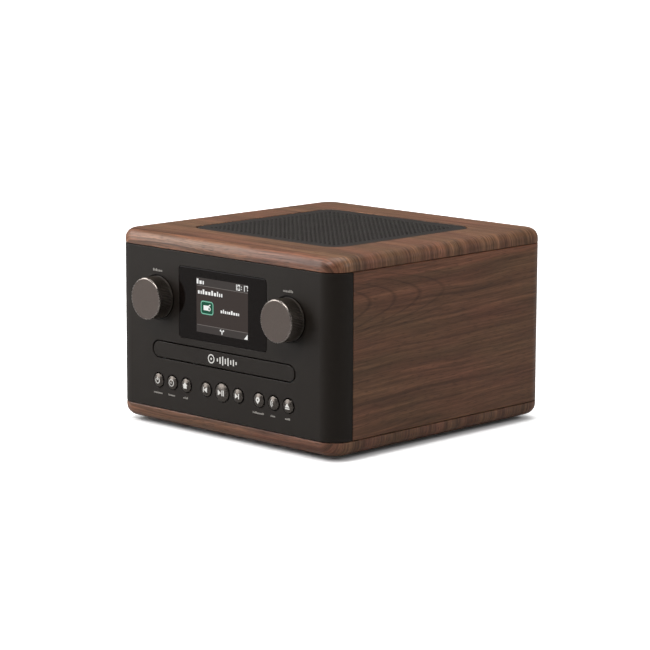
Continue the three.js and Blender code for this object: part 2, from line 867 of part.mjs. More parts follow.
/** The headphone and line sockets, side by side in one housing. */
function audioJacks() {
  const back = rearInner - 13;
  const shape = [box(audioJackX - 14, audioJackX + 14, back, rearInner - gap, jackZ - 8, jackZ + 5)];
  const bores = [];
  for (const x of audioJackXs) {
    shape.push(pinY(audioBarrelRadius, x, jackZ, rearInner - 1, rearFace, COARSE));
    bores.push(pinY(1.8, x, jackZ, back + 1.5, rearFace + 1, SMALL));
  }
  return cut(join(...shape), ...bores);
}

const spigotRadius = 3.6; // what the aerial's foot turns on
const spigotEnd = rearFace + 4.4;

/** The aerial socket: a threaded stub through the back, with its nut. */
const aerialSocket = () =>
  turnY(
    [
      [0, rearInner - 8],
      [4, rearInner - 8],
      [4, rearInner - 2],
      [7, rearInner - 2],
      [7, rearInner - gap],
      [aerialStubRadius, rearInner - gap],
      [aerialStubRadius, rearFace + gap],
      [spigotRadius, rearFace + gap],
      [spigotRadius, spigotEnd],
      [0, spigotEnd],
    ],
    aerialX,
    aerialZ,
    COARSE,
  );

// ---------------------------------------------------------------- aerial
const knuckleFront = rearFace + 2 * gap;
const knuckleBack = aerialY - 4.4;

/** The aerial's foot: a sleeve that turns on the socket, and a fork with the elbow's pin. */
function aerialKnuckle() {
  const sleeve = turnY(
    [
      [spigotRadius + gap, knuckleFront],
      [5.5, knuckleFront],
      [5.5, knuckleBack + 0.8],
      [0, knuckleBack + 0.8],
      [0, spigotEnd + gap],
      [spigotRadius + gap, spigotEnd + gap],
      [spigotRadius + gap, knuckleFront],
    ],
    aerialX,
    aerialZ,
    COARSE,
  );
  const ear = (z0, z1) =>
    join(
      box(aerialX - 4, aerialX + 4, knuckleBack, aerialY, z0, z1),
      pinZ(4, aerialX, aerialY, z0, z1),
    );
  return join(
    sleeve,
    ear(aerialZ - 3.6, aerialZ - 1.5),
    ear(aerialZ + 1.5, aerialZ + 3.6),
    pinZ(elbowPinRadius, aerialX, aerialY, aerialZ - 3.6, aerialZ + 3.6),
  );
}

/** A tube along X, closed at its near end and open at its far one. */
const mastTube = (outer, inner, x0, x1) =>
  cut(
    pinX(outer, aerialY, aerialZ, x0, x1),
    pinX(inner, aerialY, aerialZ, x0 + 2, x1 + 1),
  );

const mastStart = aerialX + 6.5;
const mastEnd = mastStart + mastLength;

/** The mast's largest tube, with the tongue that turns on the elbow's pin. */
function mastBase() {
  const tongue = join(
    pinZ(3.4, aerialX, aerialY, aerialZ - 1.2, aerialZ + 1.2),
    box(aerialX, mastStart + 1, aerialY - 2.2, aerialY + 2.2, aerialZ - 1.2, aerialZ + 1.2),
  );
  return cut(
    join(tongue, mastTube(3.2, 2.7, mastStart, mastEnd)),
    pinZ(elbowPinRadius + gap, aerialX, aerialY, aerialZ - 3, aerialZ + 3),
  );
}

const mastMiddle = () => mastTube(2.4, 1.9, mastStart + 2 + gap, mastEnd + 2);

/** The thinnest section, with the cap that it is pulled out by. */
function mastTip() {
  const start = mastStart + 4 + 2 * gap;
  const end = mastEnd + 2 + gap;
  const cap = new THREE.LatheGeometry(
    [[0, 0], [3, 0], [3.2, 1.5], [3.2, 5], [2.6, 6.6], [0, 7]].map(([r, h]) => new THREE.Vector2(r, h)),
    SMALL,
  );
  cap.rotateZ(-Math.PI / 2).translate(end, aerialY, aerialZ);
  return join(pinX(1.6, aerialY, aerialZ, start, end + 1), cap);
}

// ---------------------------------------------------------------- speakers
const baffle = () =>
  cut(
    box(-92, 92, -92, 92, baffleTop - 6, baffleTop),
    ...[-driverX, driverX].map((x) => pinZ(baffleHole, x, 0, baffleTop - 7, baffleTop + 1, COARSE)),
  );

/** A driver's basket, magnet and flange, cut away where the cone moves. */
function driverBasket(x) {
  const seat = baffleTop + gap;
  return turnZ(
    [
      [0, seat - 42],
      [23, seat - 42],
      [23, seat - 27],
      [18, seat - 24],
      [33, seat - 6],
      [33, seat],
      [driverRadius, seat],
      [driverRadius, seat + 2],
      [34.5, seat + 2],
      [31.5, seat - 1],
      [31.5, seat - 5.6],
      [16.2, seat - 24],
      [12.5, seat - 24],
      [12.5, seat - 34],
      [0, seat - 34],
    ],
    x,
    0,
    COARSE,
  );
}

/** A driver's cone with its surround, dust cap and voice coil. */
function driverCone(x) {
  const seat = baffleTop + gap;
  return turnZ(
    [
      [0, seat - 14],
      [10.6, seat - 16.6],
      [10.6, seat - 29],
      [11.6, seat - 29],
      [11.6, seat - 18.5],
      [25.2, seat - 3.4],
      [30.6, seat - 3.2],
      [30.6, seat - 1],
      [28.2, seat + 1.6],
      [25.6, seat - 0.4],
      [12, seat - 14.6],
      [7, seat - 10.6],
      [0, seat - 9.8],
    ],
    x,
    0,
    COARSE,
  );
}

/** The grille: a plate with a field of slots that run from the front right corner to the back left. */
function grille() {
  const size = grilleOpening - 2 * gap;
  const z1 = topZ - grilleRecess;
  const z0 = z1 - grilleThickness;
  const plate = raise(roundedRectangle(size, size, grilleCorner - gap), z0, z1);
  const reach = slotField / 2;
  const slots = [];
  const count = Math.floor((reach * Math.SQRT2) / slotPitch) - 1;
  for (let i = -count; i <= count; i++) {
    const offset = i * slotPitch;
    const halfLength = Math.min(reach * Math.SQRT2 - Math.abs(offset), reach * 1.29) - 2;
    const slot = box(-halfLength, halfLength, -slotWidth / 2, slotWidth / 2, z0 - 1, z1 + 1);
    slot.translate(0, offset, 0).rotateZ(-Math.PI / 4);
    slots.push(slot);
  }
  return cut(plate, ...slots);
}

// ---------------------------------------------------------------- feet
const footX = 92;
const footY = 93;
const foot = (x, y) =>
  turnZ(
    [
      [0, 0],
      [8, 0],
      [9, 0.8],
      [9, footHeight - gap],
      [0, footHeight - gap],
    ],
    x,
    y,
    COARSE,
  );

// ---------------------------------------------------------------- the object
piece("top_panel", topPanel(), walnut);
piece("bottom_panel", bottomPanel(), walnut);
piece("side_panel_left", sidePanel(-1), walnut);
piece("side_panel_right", sidePanel(1), walnut);
piece("front_panel", frontPanel(), blackPlastic);
piece("rear_panel", rearPanel(), blackPlastic);
for (const [name, x, z] of rearScrews) {
  piece(name, rearScrew(x, z), steel);
}
for (const [name, x, y] of [
  ["foot_front_left", -footX, -footY],
  ["foot_front_right", footX, -footY],
  ["foot_back_left", -footX, footY],
  ["foot_back_right", footX, footY],
]) {
  piece(name, foot(x, y), rubber);
}
piece("speaker_grille", grille(), grilleMetal);
piece("speaker_baffle", baffle(), paper);
for (const [side, x] of [["left", -driverX], ["right", driverX]]) {
  piece("speaker_" + side + "_basket", driverBasket(x), steel);
  piece("speaker_" + side + "_cone", driverCone(x), paper);
}
piece("display_lens", lens(), glass);
piece("display_module", displayModule(), greyPlastic);
piece("display_board", displayBoard(), circuitBoard);
for (const [name, x] of [["volume", -knobX], ["select", knobX]]) {
  piece(name + "_knob", knob(x), knobMetal);
  piece(name + "_encoder", encoder(x), steel);
}
piece("volume_shaft", join(shaft(-knobX), wheel(-knobX, shaftRadius - 0.1)), steel);
piece("select_shaft", shaft(knobX), steel);
piece("select_wheel", wheel(knobX, shaftRadius + gap), whitePlastic);
for (const [name, x, r] of keys) {
  piece(name, key(x, r), keyMetal);
}
piece("key_board", keyBoard(), circuitBoard);
piece("drawer_front", drawerFront(), blackPlastic);
piece("disc_tray", discTray(), blackPlastic);
piece("tray_gear", trayGear(), whitePlastic);
piece("loader_frame", loaderFrame(), greyPlastic);
piece("loader_motor", loaderMotor(), steel);
piece("motor_pulley", motorPulley(), brass);
piece("clamp_bridge", clampBridge(), steel);
piece("disc_clamp", discClamp(), whitePlastic);
piece("pickup_deck", onDeck(pickupDeck()), greyPlastic, deck);
piece("spindle_motor", onDeck(spindleMotor()), steel, deck);
piece("turntable", onDeck(turntable()), blackPlastic, deck);
piece("laser_pickup", onDeck(laserPickup()), blackPlastic, deck);
for (const [side, x] of [["left", -railX], ["right", railX]]) {
  piece("sled_rail_" + side, onDeck(pinY(railRadius, x, railZ, railFront, railBack)), chrome, deck);
}
piece("main_board", mainBoard(), circuitBoard);
piece("dc_jack", dcJack(), blackPlastic);
piece("audio_jacks", audioJacks(), blackPlastic);
piece("aerial_socket", aerialSocket(), brass);
piece("aerial_knuckle", aerialKnuckle(), blackPlastic);
piece("aerial_mast_base", mastBase(), chrome);
piece("aerial_mast_middle", mastMiddle(), chrome);
piece("aerial_mast_tip", mastTip(), chrome);

export default group;
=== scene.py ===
"""The looks of the tabletop radio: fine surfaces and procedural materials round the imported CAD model.

Lengths are millimetres in the model's own frame (+Z up, the front faces -Y), and become metres when a piece
is made. Places come from the CAD nodes' boxes. Materials, the stage and the camera are in metres.
"""

import math
import random

import bmesh
import bpy
from mathutils import Matrix, Vector
from mathutils.geometry import delaunay_2d_cdt


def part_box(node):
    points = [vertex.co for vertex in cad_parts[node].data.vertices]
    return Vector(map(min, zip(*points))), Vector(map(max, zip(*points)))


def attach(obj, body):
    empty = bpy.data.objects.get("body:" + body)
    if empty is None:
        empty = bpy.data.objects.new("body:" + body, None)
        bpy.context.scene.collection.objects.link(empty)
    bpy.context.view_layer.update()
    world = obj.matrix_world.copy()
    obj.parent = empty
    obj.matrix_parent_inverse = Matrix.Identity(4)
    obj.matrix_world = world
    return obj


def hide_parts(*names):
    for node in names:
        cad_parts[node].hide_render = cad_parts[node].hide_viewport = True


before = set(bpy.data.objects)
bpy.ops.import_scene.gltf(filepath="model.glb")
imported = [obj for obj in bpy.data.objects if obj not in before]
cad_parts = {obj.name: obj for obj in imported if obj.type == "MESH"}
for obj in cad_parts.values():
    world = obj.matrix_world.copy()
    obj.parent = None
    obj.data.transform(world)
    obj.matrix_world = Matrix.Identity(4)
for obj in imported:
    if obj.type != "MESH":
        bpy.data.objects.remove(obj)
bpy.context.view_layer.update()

MM = 0.001
TURN = 2 * math.pi
QUARTER = math.pi / 2


def box(node):
    """Lowest and highest corner of a CAD node, in millimetres."""
    low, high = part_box(node)
    return low / MM, high / MM


def middle(node):
    low, high = box(node)
    return (low + high) / 2


def middle_xz(node):
    """The middle of a CAD node, seen from the front."""
    at = middle(node)
    return at.x, at.z


# ---- driving dimensions
CORNER = 17.0  # the radius of the cabinet's corners in plan
TOP_EDGE = 8.2  # the round-over of the top panel
BASE_EDGE = 8.7
SIDE_THICKNESS = 9.0
CHAMFER = 0.3  # the small chamfer of most edges
GRILLE_OPENING = 163.6
GRILLE_CORNER = 15.0
GRILLE_LEDGE = 4.0
PERFORATED = 138.0
HOLE_PITCH = 3.457
HOLE_RADIUS = 1.25
WINDOW_CORNER = 3.0
WINDOW_GAP = 0.25
PICTURE = (57.6, 43.2)
KNOB_WELL = 18.0
KNOB_WELL_DEPTH = 1.5
BENEATH = 0.105  # half the straight part of the cabinet's outline, in metres
KEY_GAP = 0.75
KEY_COLLAR = KEY_GAP + 0.8
DRAWER_GAP = 1.0
PLATE = 3.0  # the thickness of the front and back mouldings

FRONT = box("front_panel")[0].y
BACK = box("rear_panel")[1].y
TOP = box("top_panel")[1].z
BASE = box("bottom_panel")[0].z
KEYS = ["key_" + key for key in "standby source home previous play_pause next presets pair eject".split()]
KNOBS = ("volume_knob", "select_knob")


# ---- outlines
def arc(centre, radius, start, stop, steps):
    points = []
    for i in range(steps + 1):
        angle = start + (stop - start) * i / steps
        points.append((centre[0] + radius * math.cos(angle), centre[1] + radius * math.sin(angle)))
    return points


def circle(radius, centre=(0.0, 0.0), steps=64):
    return arc(centre, radius, 0, TURN, steps)[:-1]


def bar(x0, x1, z0, z1):
    return [(x0, z0), (x1, z0), (x1, z1), (x0, z1)]


def rounded(width, height, radius, centre=(0.0, 0.0), steps=12):
    """A rounded rectangle, anticlockwise."""
    x, y = width / 2 - radius, height / 2 - radius
    corners = ((x, -y, -1), (x, y, 0), (-x, y, 1), (-x, -y, 2))
    outline = []
    for cx, cy, turn in corners:
        at = (centre[0] + cx, centre[1] + cy)
        outline += arc(at, radius, turn * QUARTER, (turn + 1) * QUARTER, steps)
    return outline


def inset(outline, distance):
    """The outline moved inwards by a distance, or outwards where it is negative."""
    moved = []
    count = len(outline)
    for i, (x, y) in enumerate(outline):
        before = Vector((x, y)) - Vector(outline[i - 1])
        after = Vector(outline[(i + 1) % count]) - Vector((x, y))
        normals = [Vector((-d.y, d.x)).normalized() for d in (before, after)]
        share = 1 + normals[0].dot(normals[1])
        step = (normals[0] + normals[1]) * (distance / max(share, 0.2))
        moved.append((x + step.x, y + step.y))
    return moved


def divided(outline, length):
    """The outline with points added, so that no edge is longer than a length."""
    points = []
    for i, start in enumerate(outline):
        start, stop = Vector(start), Vector(outline[(i + 1) % len(outline)])
        parts = max(1, math.ceil((stop - start).length / length))
        points += [tuple(start.lerp(stop, k / parts)) for k in range(parts)]
    return points


def encloses(outline, spot):
    """Whether a spot is inside an outline: a line from it crosses the outline an odd number of times."""
    u, v = spot
    within = False
    for (au, av), (bu, bv) in zip(outline, outline[1:] + outline[:1]):
        if (av > v) != (bv > v) and u < au + (v - av) * (bu - au) / (bv - av):
            within = not within
    return within


# Each of these turns a flat outline (u, v) and a depth w into a point of the model.
def upright(u, v, w):
    return (u, v, w)


def on_front(u, v, w):
    return (u, FRONT + w, v)


def on_back(u, v, w):
    return (u, BACK - w, v)


def level(outline, z):
    return [(x, y, z) for x, y in outline]


def quarter_round(radius, steps=10):
    """(inset, rise) pairs of a quarter round-over, from the wall to the flat."""
    angles = [QUARTER * i / steps for i in range(steps + 1)]
    return [(radius * (1 - math.cos(a)), radius * math.sin(a)) for a in angles]


# ---- meshes
def placed(name, data):
    """A new object in the scene."""
    made = bpy.data.objects.new(name, data)
    bpy.context.scene.collection.objects.link(made)
    return made


class Mesh:
    """Collects the faces of one piece, in millimetres, and makes it."""

    def __init__(self):
        self.points = []
        self.faces = []

    def ring(self, points):
        first = len(self.points)
        self.points += points
        return list(range(first, len(self.points)))

    def strip(self, a, b):
        """Joins two rings of the same length, or a ring and a single point."""
        count = max(len(a), len(b))
        for i in range(count):
            j = (i + 1) % count
            if len(a) == 1:
                self.faces.append((a[0], b[i], b[j]))
            elif len(b) == 1:
                self.faces.append((a[i], a[j], b[0]))
            else:
                self.faces.append((a[i], a[j], b[j], b[i]))

    def loft(self, rings, caps=True, loop=False):
        made = [self.ring(points) for points in rings]
        for a, b in zip(made, made[1:]):
            self.strip(a, b)
        if loop:
            self.strip(made[-1], made[0])
        elif caps:
            self.faces += [tuple(ring) for ring in (made[0], made[-1]) if len(ring) > 2]
        return self

    def sheet(self, outlines, place, extra=()):
        """A face inside the first outline and outside the others, with extra points inside it. place(u, v)
        puts its points in the model."""
        flat, owner, edges = [], [], []
        for number, outline in enumerate(outlines):
            first, count = len(flat), len(outline)
            flat += outline
            owner += [number] * count
            edges += [(first + i, first + (i + 1) % count) for i in range(count)]
        flat += extra
        owner += [None] * len(extra)
        cut = delaunay_2d_cdt([Vector(p) for p in flat], edges, [], 0, 1e-6, True)
        spots, triangles, sources = cut[0], cut[2], cut[3]
        made = self.ring([place(*spot) for spot in spots])
        for triangle in triangles:
            owners = {owner[sources[i][0]] for i in triangle}
            number = owners.pop()
            if not owners and number is not None:
                centre = sum((spots[i] for i in triangle), Vector((0, 0))) / 3
                if encloses(outlines[number], centre) != (number == 0):
                    continue
            self.faces.append(tuple(made[i] for i in triangle))

    def plate(self, outlines, near, far, place, rim=CHAMFER, border=None):
        """A plate with holes, whose near hole rims and border carry a small chamfer."""
        sign = 1 if far > near else -1
        border = border or rim
        cuts = [border] + [rim] * (len(outlines) - 1)
        eased = [inset(outlines[0], border)] + [inset(hole, -rim) for hole in outlines[1:]]
        self.sheet(eased, lambda u, v: place(u, v, near))
        self.sheet(outlines, lambda u, v: place(u, v, far))
        for edge, line, cut in zip(eased, outlines, cuts):
            steps = ((edge, near), (line, near + sign * cut), (line, far))
            self.loft([[place(u, v, w) for u, v in ring] for ring, w in steps], caps=False)
        return self

    def prism(self, outline, near, far, place, rim=CHAMFER):
        """A closed prism with a chamfer round both ends."""
        sign = 1 if far > near else -1
        steps = ((rim, near), (0, near + sign * rim), (0, far - sign * rim), (rim, far))
        return self.loft([[place(u, v, w) for u, v in inset(outline, step)] for step, w in steps])

    def turn(self, profile, centre, place, steps=64, ripple=None, loop=False):
        """A profile of (radius, w) pairs, turned about the w axis at a centre. ripple(radius, w, angle) is
        added to a radius."""
        rings = []
        for radius, w in profile:
            if radius == 0:
                rings.append([place(centre[0], centre[1], w)])
                continue
            ring = []
            for i in range(steps):
                angle = TURN * i / steps
                r = radius + (ripple(radius, w, angle) if ripple else 0)
                ring.append(place(centre[0] + r * math.cos(angle), centre[1] + r * math.sin(angle), w))
            rings.append(ring)
        return self.loft(rings, caps=False, loop=loop)

    def data(self, name):
        data = bpy.data.meshes.new(name)
        data.from_pydata([Vector(p) * MM for p in self.points], [], self.faces)
        return changed(data, joined)

    def make(self, name, finish, body="root", slot=None, nodes=(), sharp=35):
        return finished(self.data(name), name, finish, body, nodes, sharp)

    def carved(self, name, cutters):
        """The mesh with other meshes cut away."""
        base = placed(name + "_blank", self.data(name))
        tools = [placed(name + "_cutter", cutter.data(name + "_cutter")) for cutter in cutters]
        for tool in tools:
            cut = base.modifiers.new("cut", "BOOLEAN")
            cut.object = tool
            cut.solver = "EXACT"
        depsgraph = bpy.context.evaluated_depsgraph_get()
        data = bpy.data.meshes.new_from_object(base.evaluated_get(depsgraph))
        for helper in (base, *tools):
            bpy.data.objects.remove(helper)
        return changed(data, lambda shape: bmesh.ops.triangulate(shape, faces=shape.faces))


def changed(data, change):
    """A mesh after a change to its bmesh."""
    shape = bmesh.new()
    shape.from_mesh(data)
    change(shape)
    shape.to_mesh(data)
    shape.free()
    return data


def joined(shape):
    """Merges points in the same place and turns the faces outwards."""
    same_place = 1e-7
    bmesh.ops.remove_doubles(shape, verts=shape.verts, dist=same_place)
    bmesh.ops.dissolve_degenerate(shape, edges=shape.edges, dist=same_place)
    bmesh.ops.recalc_face_normals(shape, faces=shape.faces)


def finished(data, name, finish, body="root", nodes=(), sharp=35):
    """A mesh as a named piece: smooth where it curves, riding on its body, in place of its CAD nodes."""
    data.shade_smooth()
    data.set_sharp_from_angle(angle=math.radians(sharp))
    data.materials.clear()
    data.materials.append(finish)
    piece = placed(name, data)
    weighted = piece.modifiers.new("normals", "WEIGHTED_NORMAL")
    weighted.keep_sharp = True
    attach(piece, body)
    if nodes:
        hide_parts(*nodes)
    return piece


# ---- materials
class Material:
    """A short way to write a node tree round one Principled shader."""

    def __init__(self, name, color=(0.5, 0.5, 0.5), roughness=0.5, metallic=0.0, specular=0.5):
        self.material = bpy.data.materials.new(name)
        self.material.use_nodes = True
        self.tree = self.material.node_tree
        self.shader = self.tree.nodes["Principled BSDF"]
        self.material.diffuse_color = (*color, 1)
        self.set("Base Color", (*color, 1))
        self.set("Roughness", roughness)
        self.set("Metallic", metallic)
        self.set("Specular IOR Level", specular)
        self.place = self.node("ShaderNodeTexCoord", {}).outputs["Object"]

    def feed(self, socket, value):
        """Gives an input a constant, or links it to another node's output."""
        if isinstance(value, bpy.types.NodeSocket):
            self.tree.links.new(value, socket)
        else:
            socket.default_value = value

    def set(self, socket, value):
        self.feed(self.shader.inputs[socket], value)

    def node(self, kind, inputs, **settings):
        made = self.tree.nodes.new(kind)
        for key, value in settings.items():
            setattr(made, key, value)
        for key, value in inputs.items():
            self.feed(made.inputs[key], value)
        return made

    def math(self, operation, a, b=0.0):
        return self.node("ShaderNodeMath", {0: a, 1: b}, operation=operation).outputs[0]

    def product(self, *factors):
        result = factors[0]
        for factor in factors[1:]:
            result = self.math("MULTIPLY", result, factor)
        return result

    def vector(self, operation, a, b=(0, 0, 0)):
        return self.node("ShaderNodeVectorMath", {0: a, 1: b}, operation=operation).outputs[0]

    def split(self, source):
        parts = self.node("ShaderNodeSeparateXYZ", {0: source}).outputs
        return parts["X"], parts["Y"], parts["Z"]

    def noise(self, source, scale, detail=4.0, roughness=0.55):
        """Noise at a scale in 1/m: a number, or one for each axis."""
        if not isinstance(scale, float):
            source, scale = self.vector("MULTIPLY", source, scale), 1.0
        inputs = {"Vector": source, "Scale": scale, "Detail": detail, "Roughness": roughness}
        return self.node("ShaderNodeTexNoise", inputs).outputs["Fac"]

    def between(self, source, low, high, out_low=0.0, out_high=1.0):
        """A range of values, mapped to another range."""
        inputs = {"Value": source, "From Min": low, "From Max": high, "To Min": out_low, "To Max": out_high}
        return self.node("ShaderNodeMapRange", inputs).outputs["Result"]

    def mix(self, share, a, b):
        a, b = [(*c, 1) if isinstance(c, tuple) else c for c in (a, b)]
        return self.node("ShaderNodeMix", {0: share, 6: a, 7: b}, data_type="RGBA").outputs[2]

    def bump(self, height, distance, strength=1.0):
        inputs = {"Height": height, "Distance": distance, "Strength": strength}
        self.set("Normal", self.node("ShaderNodeBump", inputs).outputs["Normal"])


def srgb(*channels):
    """A colour given as 0 to 255 screen values, as linear light."""
    return tuple(
        c / 255 / 12.92 if c / 255 <= 0.04045 else ((c / 255 + 0.055) / 1.055) ** 2.4
        for c in channels
    )


def shade(color, *factors):
    """A colour times one factor, or one for each channel."""
    return tuple(c * k for c, k in zip(color, factors * (3 // len(factors))))


def wrapped_grain(crown):
    """Grain that runs along X on a board and over its rounded edges. crown is the height of its face."""

    def grain(m):
        x, y, z = m.split(m.place)
        nx, ny, _ = m.split(m.node("ShaderNodeNewGeometry", {}).outputs["Normal"])
        nx, ny = m.product(nx, nx), m.product(ny, ny)
        share = m.math("DIVIDE", ny, m.math("ADD", m.math("ADD", nx, ny), 0.0001))
        drop = m.math("ABSOLUTE", m.math("SUBTRACT", z, crown * MM))
        front_drop = m.product(drop, share)
        over_front = m.product(front_drop, m.math("SIGN", y))
        over_end = m.product(m.math("SUBTRACT", drop, front_drop), m.math("SIGN", x))
        return m.math("ADD", x, over_end), m.math("ADD", y, over_front)

    return grain


def side_grain(m):
    """Grain that runs along Y and rises slightly towards the back."""
    _, y, z = m.split(m.place)
    slant = 0.03
    return y, m.math("SUBTRACT", z, m.product(y, slant))


def growth_rings(m, along, across):
    """Thin dark arches near the upper front, nested, with their tips towards the back."""
    heart, half_width, spacing = 0.122, 0.013, 0.028
    first = 40.55  # whole rings keep the sum above zero, and the rest places the first one
    offset = m.math("DIVIDE", m.math("SUBTRACT", across, heart), half_width)
    rise = m.math("ADD", m.product(offset, offset), m.math("DIVIDE", along, spacing))
    phase = m.math("ABSOLUTE", m.math("SUBTRACT", m.math("FRACT", m.math("ADD", rise, first)), 0.5))
    line = m.between(phase, 0.0, 0.13, 1.0, 0.0)
    near_heart = m.between(m.math("ABSOLUTE", offset), 1.3, 2.4, 1.0, 0.0)
    ahead = m.between(along, -0.02, 0.03, 1.0, 0.0)
    return m.product(line, m.product(near_heart, ahead))


def walnut(name, grain_of, tone, contrast, figure=False):
    """Walnut veneer: red and grey-brown zones, lighter and darker bands, fine lines and open pores."""
    tone = srgb(*tone)
    m = Material(name, tone, 0.38, specular=0.36)
    along, across = grain_of(m)
    straight = m.node("ShaderNodeCombineXYZ", {0: along, 1: across}).outputs[0]
    drift = m.math("SUBTRACT", m.noise(straight, (5.0, 12.0, 1.0), 3.0, 0.5), 0.5)
    across = m.math("ADD", across, m.product(drift, 0.014))
    grain = m.node("ShaderNodeCombineXYZ", {0: along, 1: across}).outputs[0]

    zones = m.noise(grain, (6.0, 30.0, 1.0), 2.0, 0.5)
    bands = m.noise(grain, (4.0, 125.0, 1.0), 3.0, 0.6)
    lines = m.noise(grain, (10.0, 430.0, 1.0), 3.0, 0.6)
    streaks = m.noise(grain, (5.0, 210.0, 1.0), 2.0, 0.55)
    hairs = m.noise(grain, (30.0, 900.0, 1.0), 2.0, 0.5)
    pores = m.noise(grain, (120.0, 1500.0, 1.0), 1.0, 0.5)

    def swing(source, share):
        return m.between(source, 0.3, 0.7, 1 - share * contrast, 1 + share * contrast)

    grey, red = shade(tone, 0.95, 0.99, 0.88), shade(tone, 1.1, 0.95, 0.93)
    color = m.mix(m.between(zones, 0.38, 0.62), grey, red)
    light = m.product(
        swing(bands, 0.36),
        swing(lines, 0.42),
        m.between(streaks, 0.54, 0.66, 1.0, 1 - 0.24 * contrast),
        swing(hairs, 0.22),
        m.between(pores, 0.56, 0.7, 1.0, 1 - 0.5 * contrast),
    )
    if figure:
        sapwood = m.between(across, 0.1365, 0.1385, 0.0, 0.7)
        color = m.mix(sapwood, color, shade(tone, 1.45, 1.2, 1.2))
        rings = growth_rings(m, along, across)
        light = m.product(light, m.math("SUBTRACT", 1.0, m.product(rings, 0.4)))
    lit = m.node("ShaderNodeVectorMath", {0: color, "Scale": light}, operation="SCALE")
    m.set("Base Color", lit.outputs[0])
    m.set("Roughness", m.between(lines, 0.3, 0.7, 0.44, 0.32))
    m.bump(m.math("SUBTRACT", lines, m.between(pores, 0.56, 0.7, 0.0, 0.8)), 0.00012, 0.5)
    return m.material


def moulded(name, color, roughness=0.55, grain=3200.0, depth=0.00006, specular=0.5):
    """Moulded plastic or paint with a fine leathery texture and slight clouds in its gloss."""
    m = Material(name, color, roughness, specular=specular)
    fine = m.noise(m.place, grain, 2.0, 0.5)
    cloud = m.noise(m.place, 22.0, 3.0, 0.5)
    m.set("Roughness", m.between(cloud, 0.3, 0.7, roughness - 0.04, roughness + 0.05))
    m.set("Base Color", m.mix(m.between(fine, 0.3, 0.7), shade(color, 0.9), shade(color, 1.1)))
    m.bump(fine, depth, 0.35)
    return m.material


def metal(name, color, roughness, metallic=1.0, scale=(60.0, 4000.0, 4000.0), depth=0.00002):
    """Metal with fine drawn lines along X, or blasted where the scale is even."""
    m = Material(name, color, roughness, metallic)
    lines = m.noise(m.place, scale, 3.0, 0.6)
    m.set("Roughness", m.between(lines, 0.3, 0.7, roughness - 0.06, roughness + 0.08))
    m.set("Base Color", m.mix(m.between(lines, 0.25, 0.75), shade(color, 0.88), shade(color, 1.1)))
    m.bump(lines, depth, 0.3)
    return m.material


def glossy(name, color, roughness=0.08, metallic=0.0, specular=0.5):
    """Polished plastic or chrome: nearly even, with faint waves and smudges in its gloss."""
    m = Material(name, color, roughness, metallic, specular)
    smudge = m.noise(m.place, 45.0, 4.0, 0.6)
    m.set("Roughness", m.between(smudge, 0.4, 0.8, roughness, roughness + 0.07))
    m.bump(m.noise(m.place, 12.0, 1.0, 0.5), 0.00002, 0.15)
    return m.material


def glowing(name, color, strength=1.0):
    """A lit part of the display, with its fine rows of picture elements. The key icons and the drawer glyph
    use it too, as a painted glow.
    """
    m = Material(name, shade(color, 0.1), 0.3, specular=0.1)
    row = 1400.0
    _, _, z = m.split(m.place)
    rows = m.math("SINE", m.product(z, row * TURN))
    m.set("Emission Color", m.mix(m.between(rows, -1.0, 1.0), shade(color, 0.9), shade(color, 1.1)))
    m.set("Emission Strength", strength)
    return m.material


WALNUT_TOP = walnut("walnut_top", wrapped_grain(TOP), (120, 85, 65), 1.25)
WALNUT_BASE = walnut("walnut_base", wrapped_grain(BASE), (115, 82, 64), 1.1)
WALNUT_SIDE = walnut("walnut_side", side_grain, (108, 75, 55), 0.8, figure=True)
FRONT_BLACK = moulded("front_black", (0.0150, 0.0109, 0.0080), 0.5, specular=0.2)
REAR_BLACK = moulded("rear_black", srgb(27, 26, 25), 0.6, 1800.0, 0.00012, 0.35)
TRAY_BLACK = moulded("tray_black", srgb(24, 24, 24), 0.5, specular=0.4)
KNOB_SIDE = moulded("knob_side", srgb(82, 75, 68), 0.3, 2600.0)
RUBBER = moulded("foot_rubber", srgb(18, 18, 18), 0.85, 1500.0, 0.0002)
WHITE_PLASTIC = moulded("white_plastic", srgb(215, 212, 205), 0.45)
GREY_PLASTIC = moulded("grey_plastic", srgb(138, 140, 140), 0.5)
BOARD_GREEN = moulded("circuit_board", srgb(30, 78, 46), 0.35, 700.0, 0.0001)
FIBREBOARD = moulded("fibreboard", srgb(26, 24, 23), 0.8, 900.0, 0.0002)
CONE_PAPER = moulded("cone_paper", srgb(28, 28, 28), 0.8, 1200.0, 0.0003)
GRILLE_METAL = moulded("grille_metal", srgb(44, 40, 37), 0.5, 2800.0, specular=0.25)
WINDOW = glossy("window", srgb(18, 13, 11), 0.06, specular=0.12)
CHROME = glossy("chrome", srgb(182, 184, 188), 0.1, metallic=1.0)
KNOB_FACE = metal("knob_face", srgb(91, 82, 77), 0.4, 0.85, (900.0, 900.0, 900.0))
KNOB_RIM = metal("knob_rim", srgb(140, 132, 126), 0.26, 1.0, (900.0, 900.0, 900.0))
KEY_METAL = metal("key_metal", srgb(88, 82, 77), 0.28, 0.9, (900.0, 900.0, 900.0), 0.000004)
STEEL = metal("zinc_steel", srgb(170, 172, 174), 0.35)
DARK_STEEL = metal("dark_zinc_steel", srgb(82, 83, 85), 0.55, 0.8)
BLACK_SCREW = metal("black_screw", srgb(52, 52, 54), 0.35, 0.9)
BRASS = metal("brass", srgb(190, 152, 80), 0.3)
PRINT = moulded("white_print", srgb(188, 184, 178), 0.6)
LABEL_PRINT = moulded("label_print", srgb(158, 153, 146), 0.6)
# The key icons and the drawer glyph glow: a painted glow that makes their white print brighter than the
# lights make it.
ICON = glowing("icon_white_painted_glow", srgb(225, 223, 218), 0.9)
BELT_RUBBER = moulded("belt_rubber", srgb(16, 16, 16), 0.7, 1500.0)
SCREEN = glowing("display_ground", srgb(56, 48, 45))
SCREEN_BAR = glowing("display_bar", srgb(60, 55, 53))
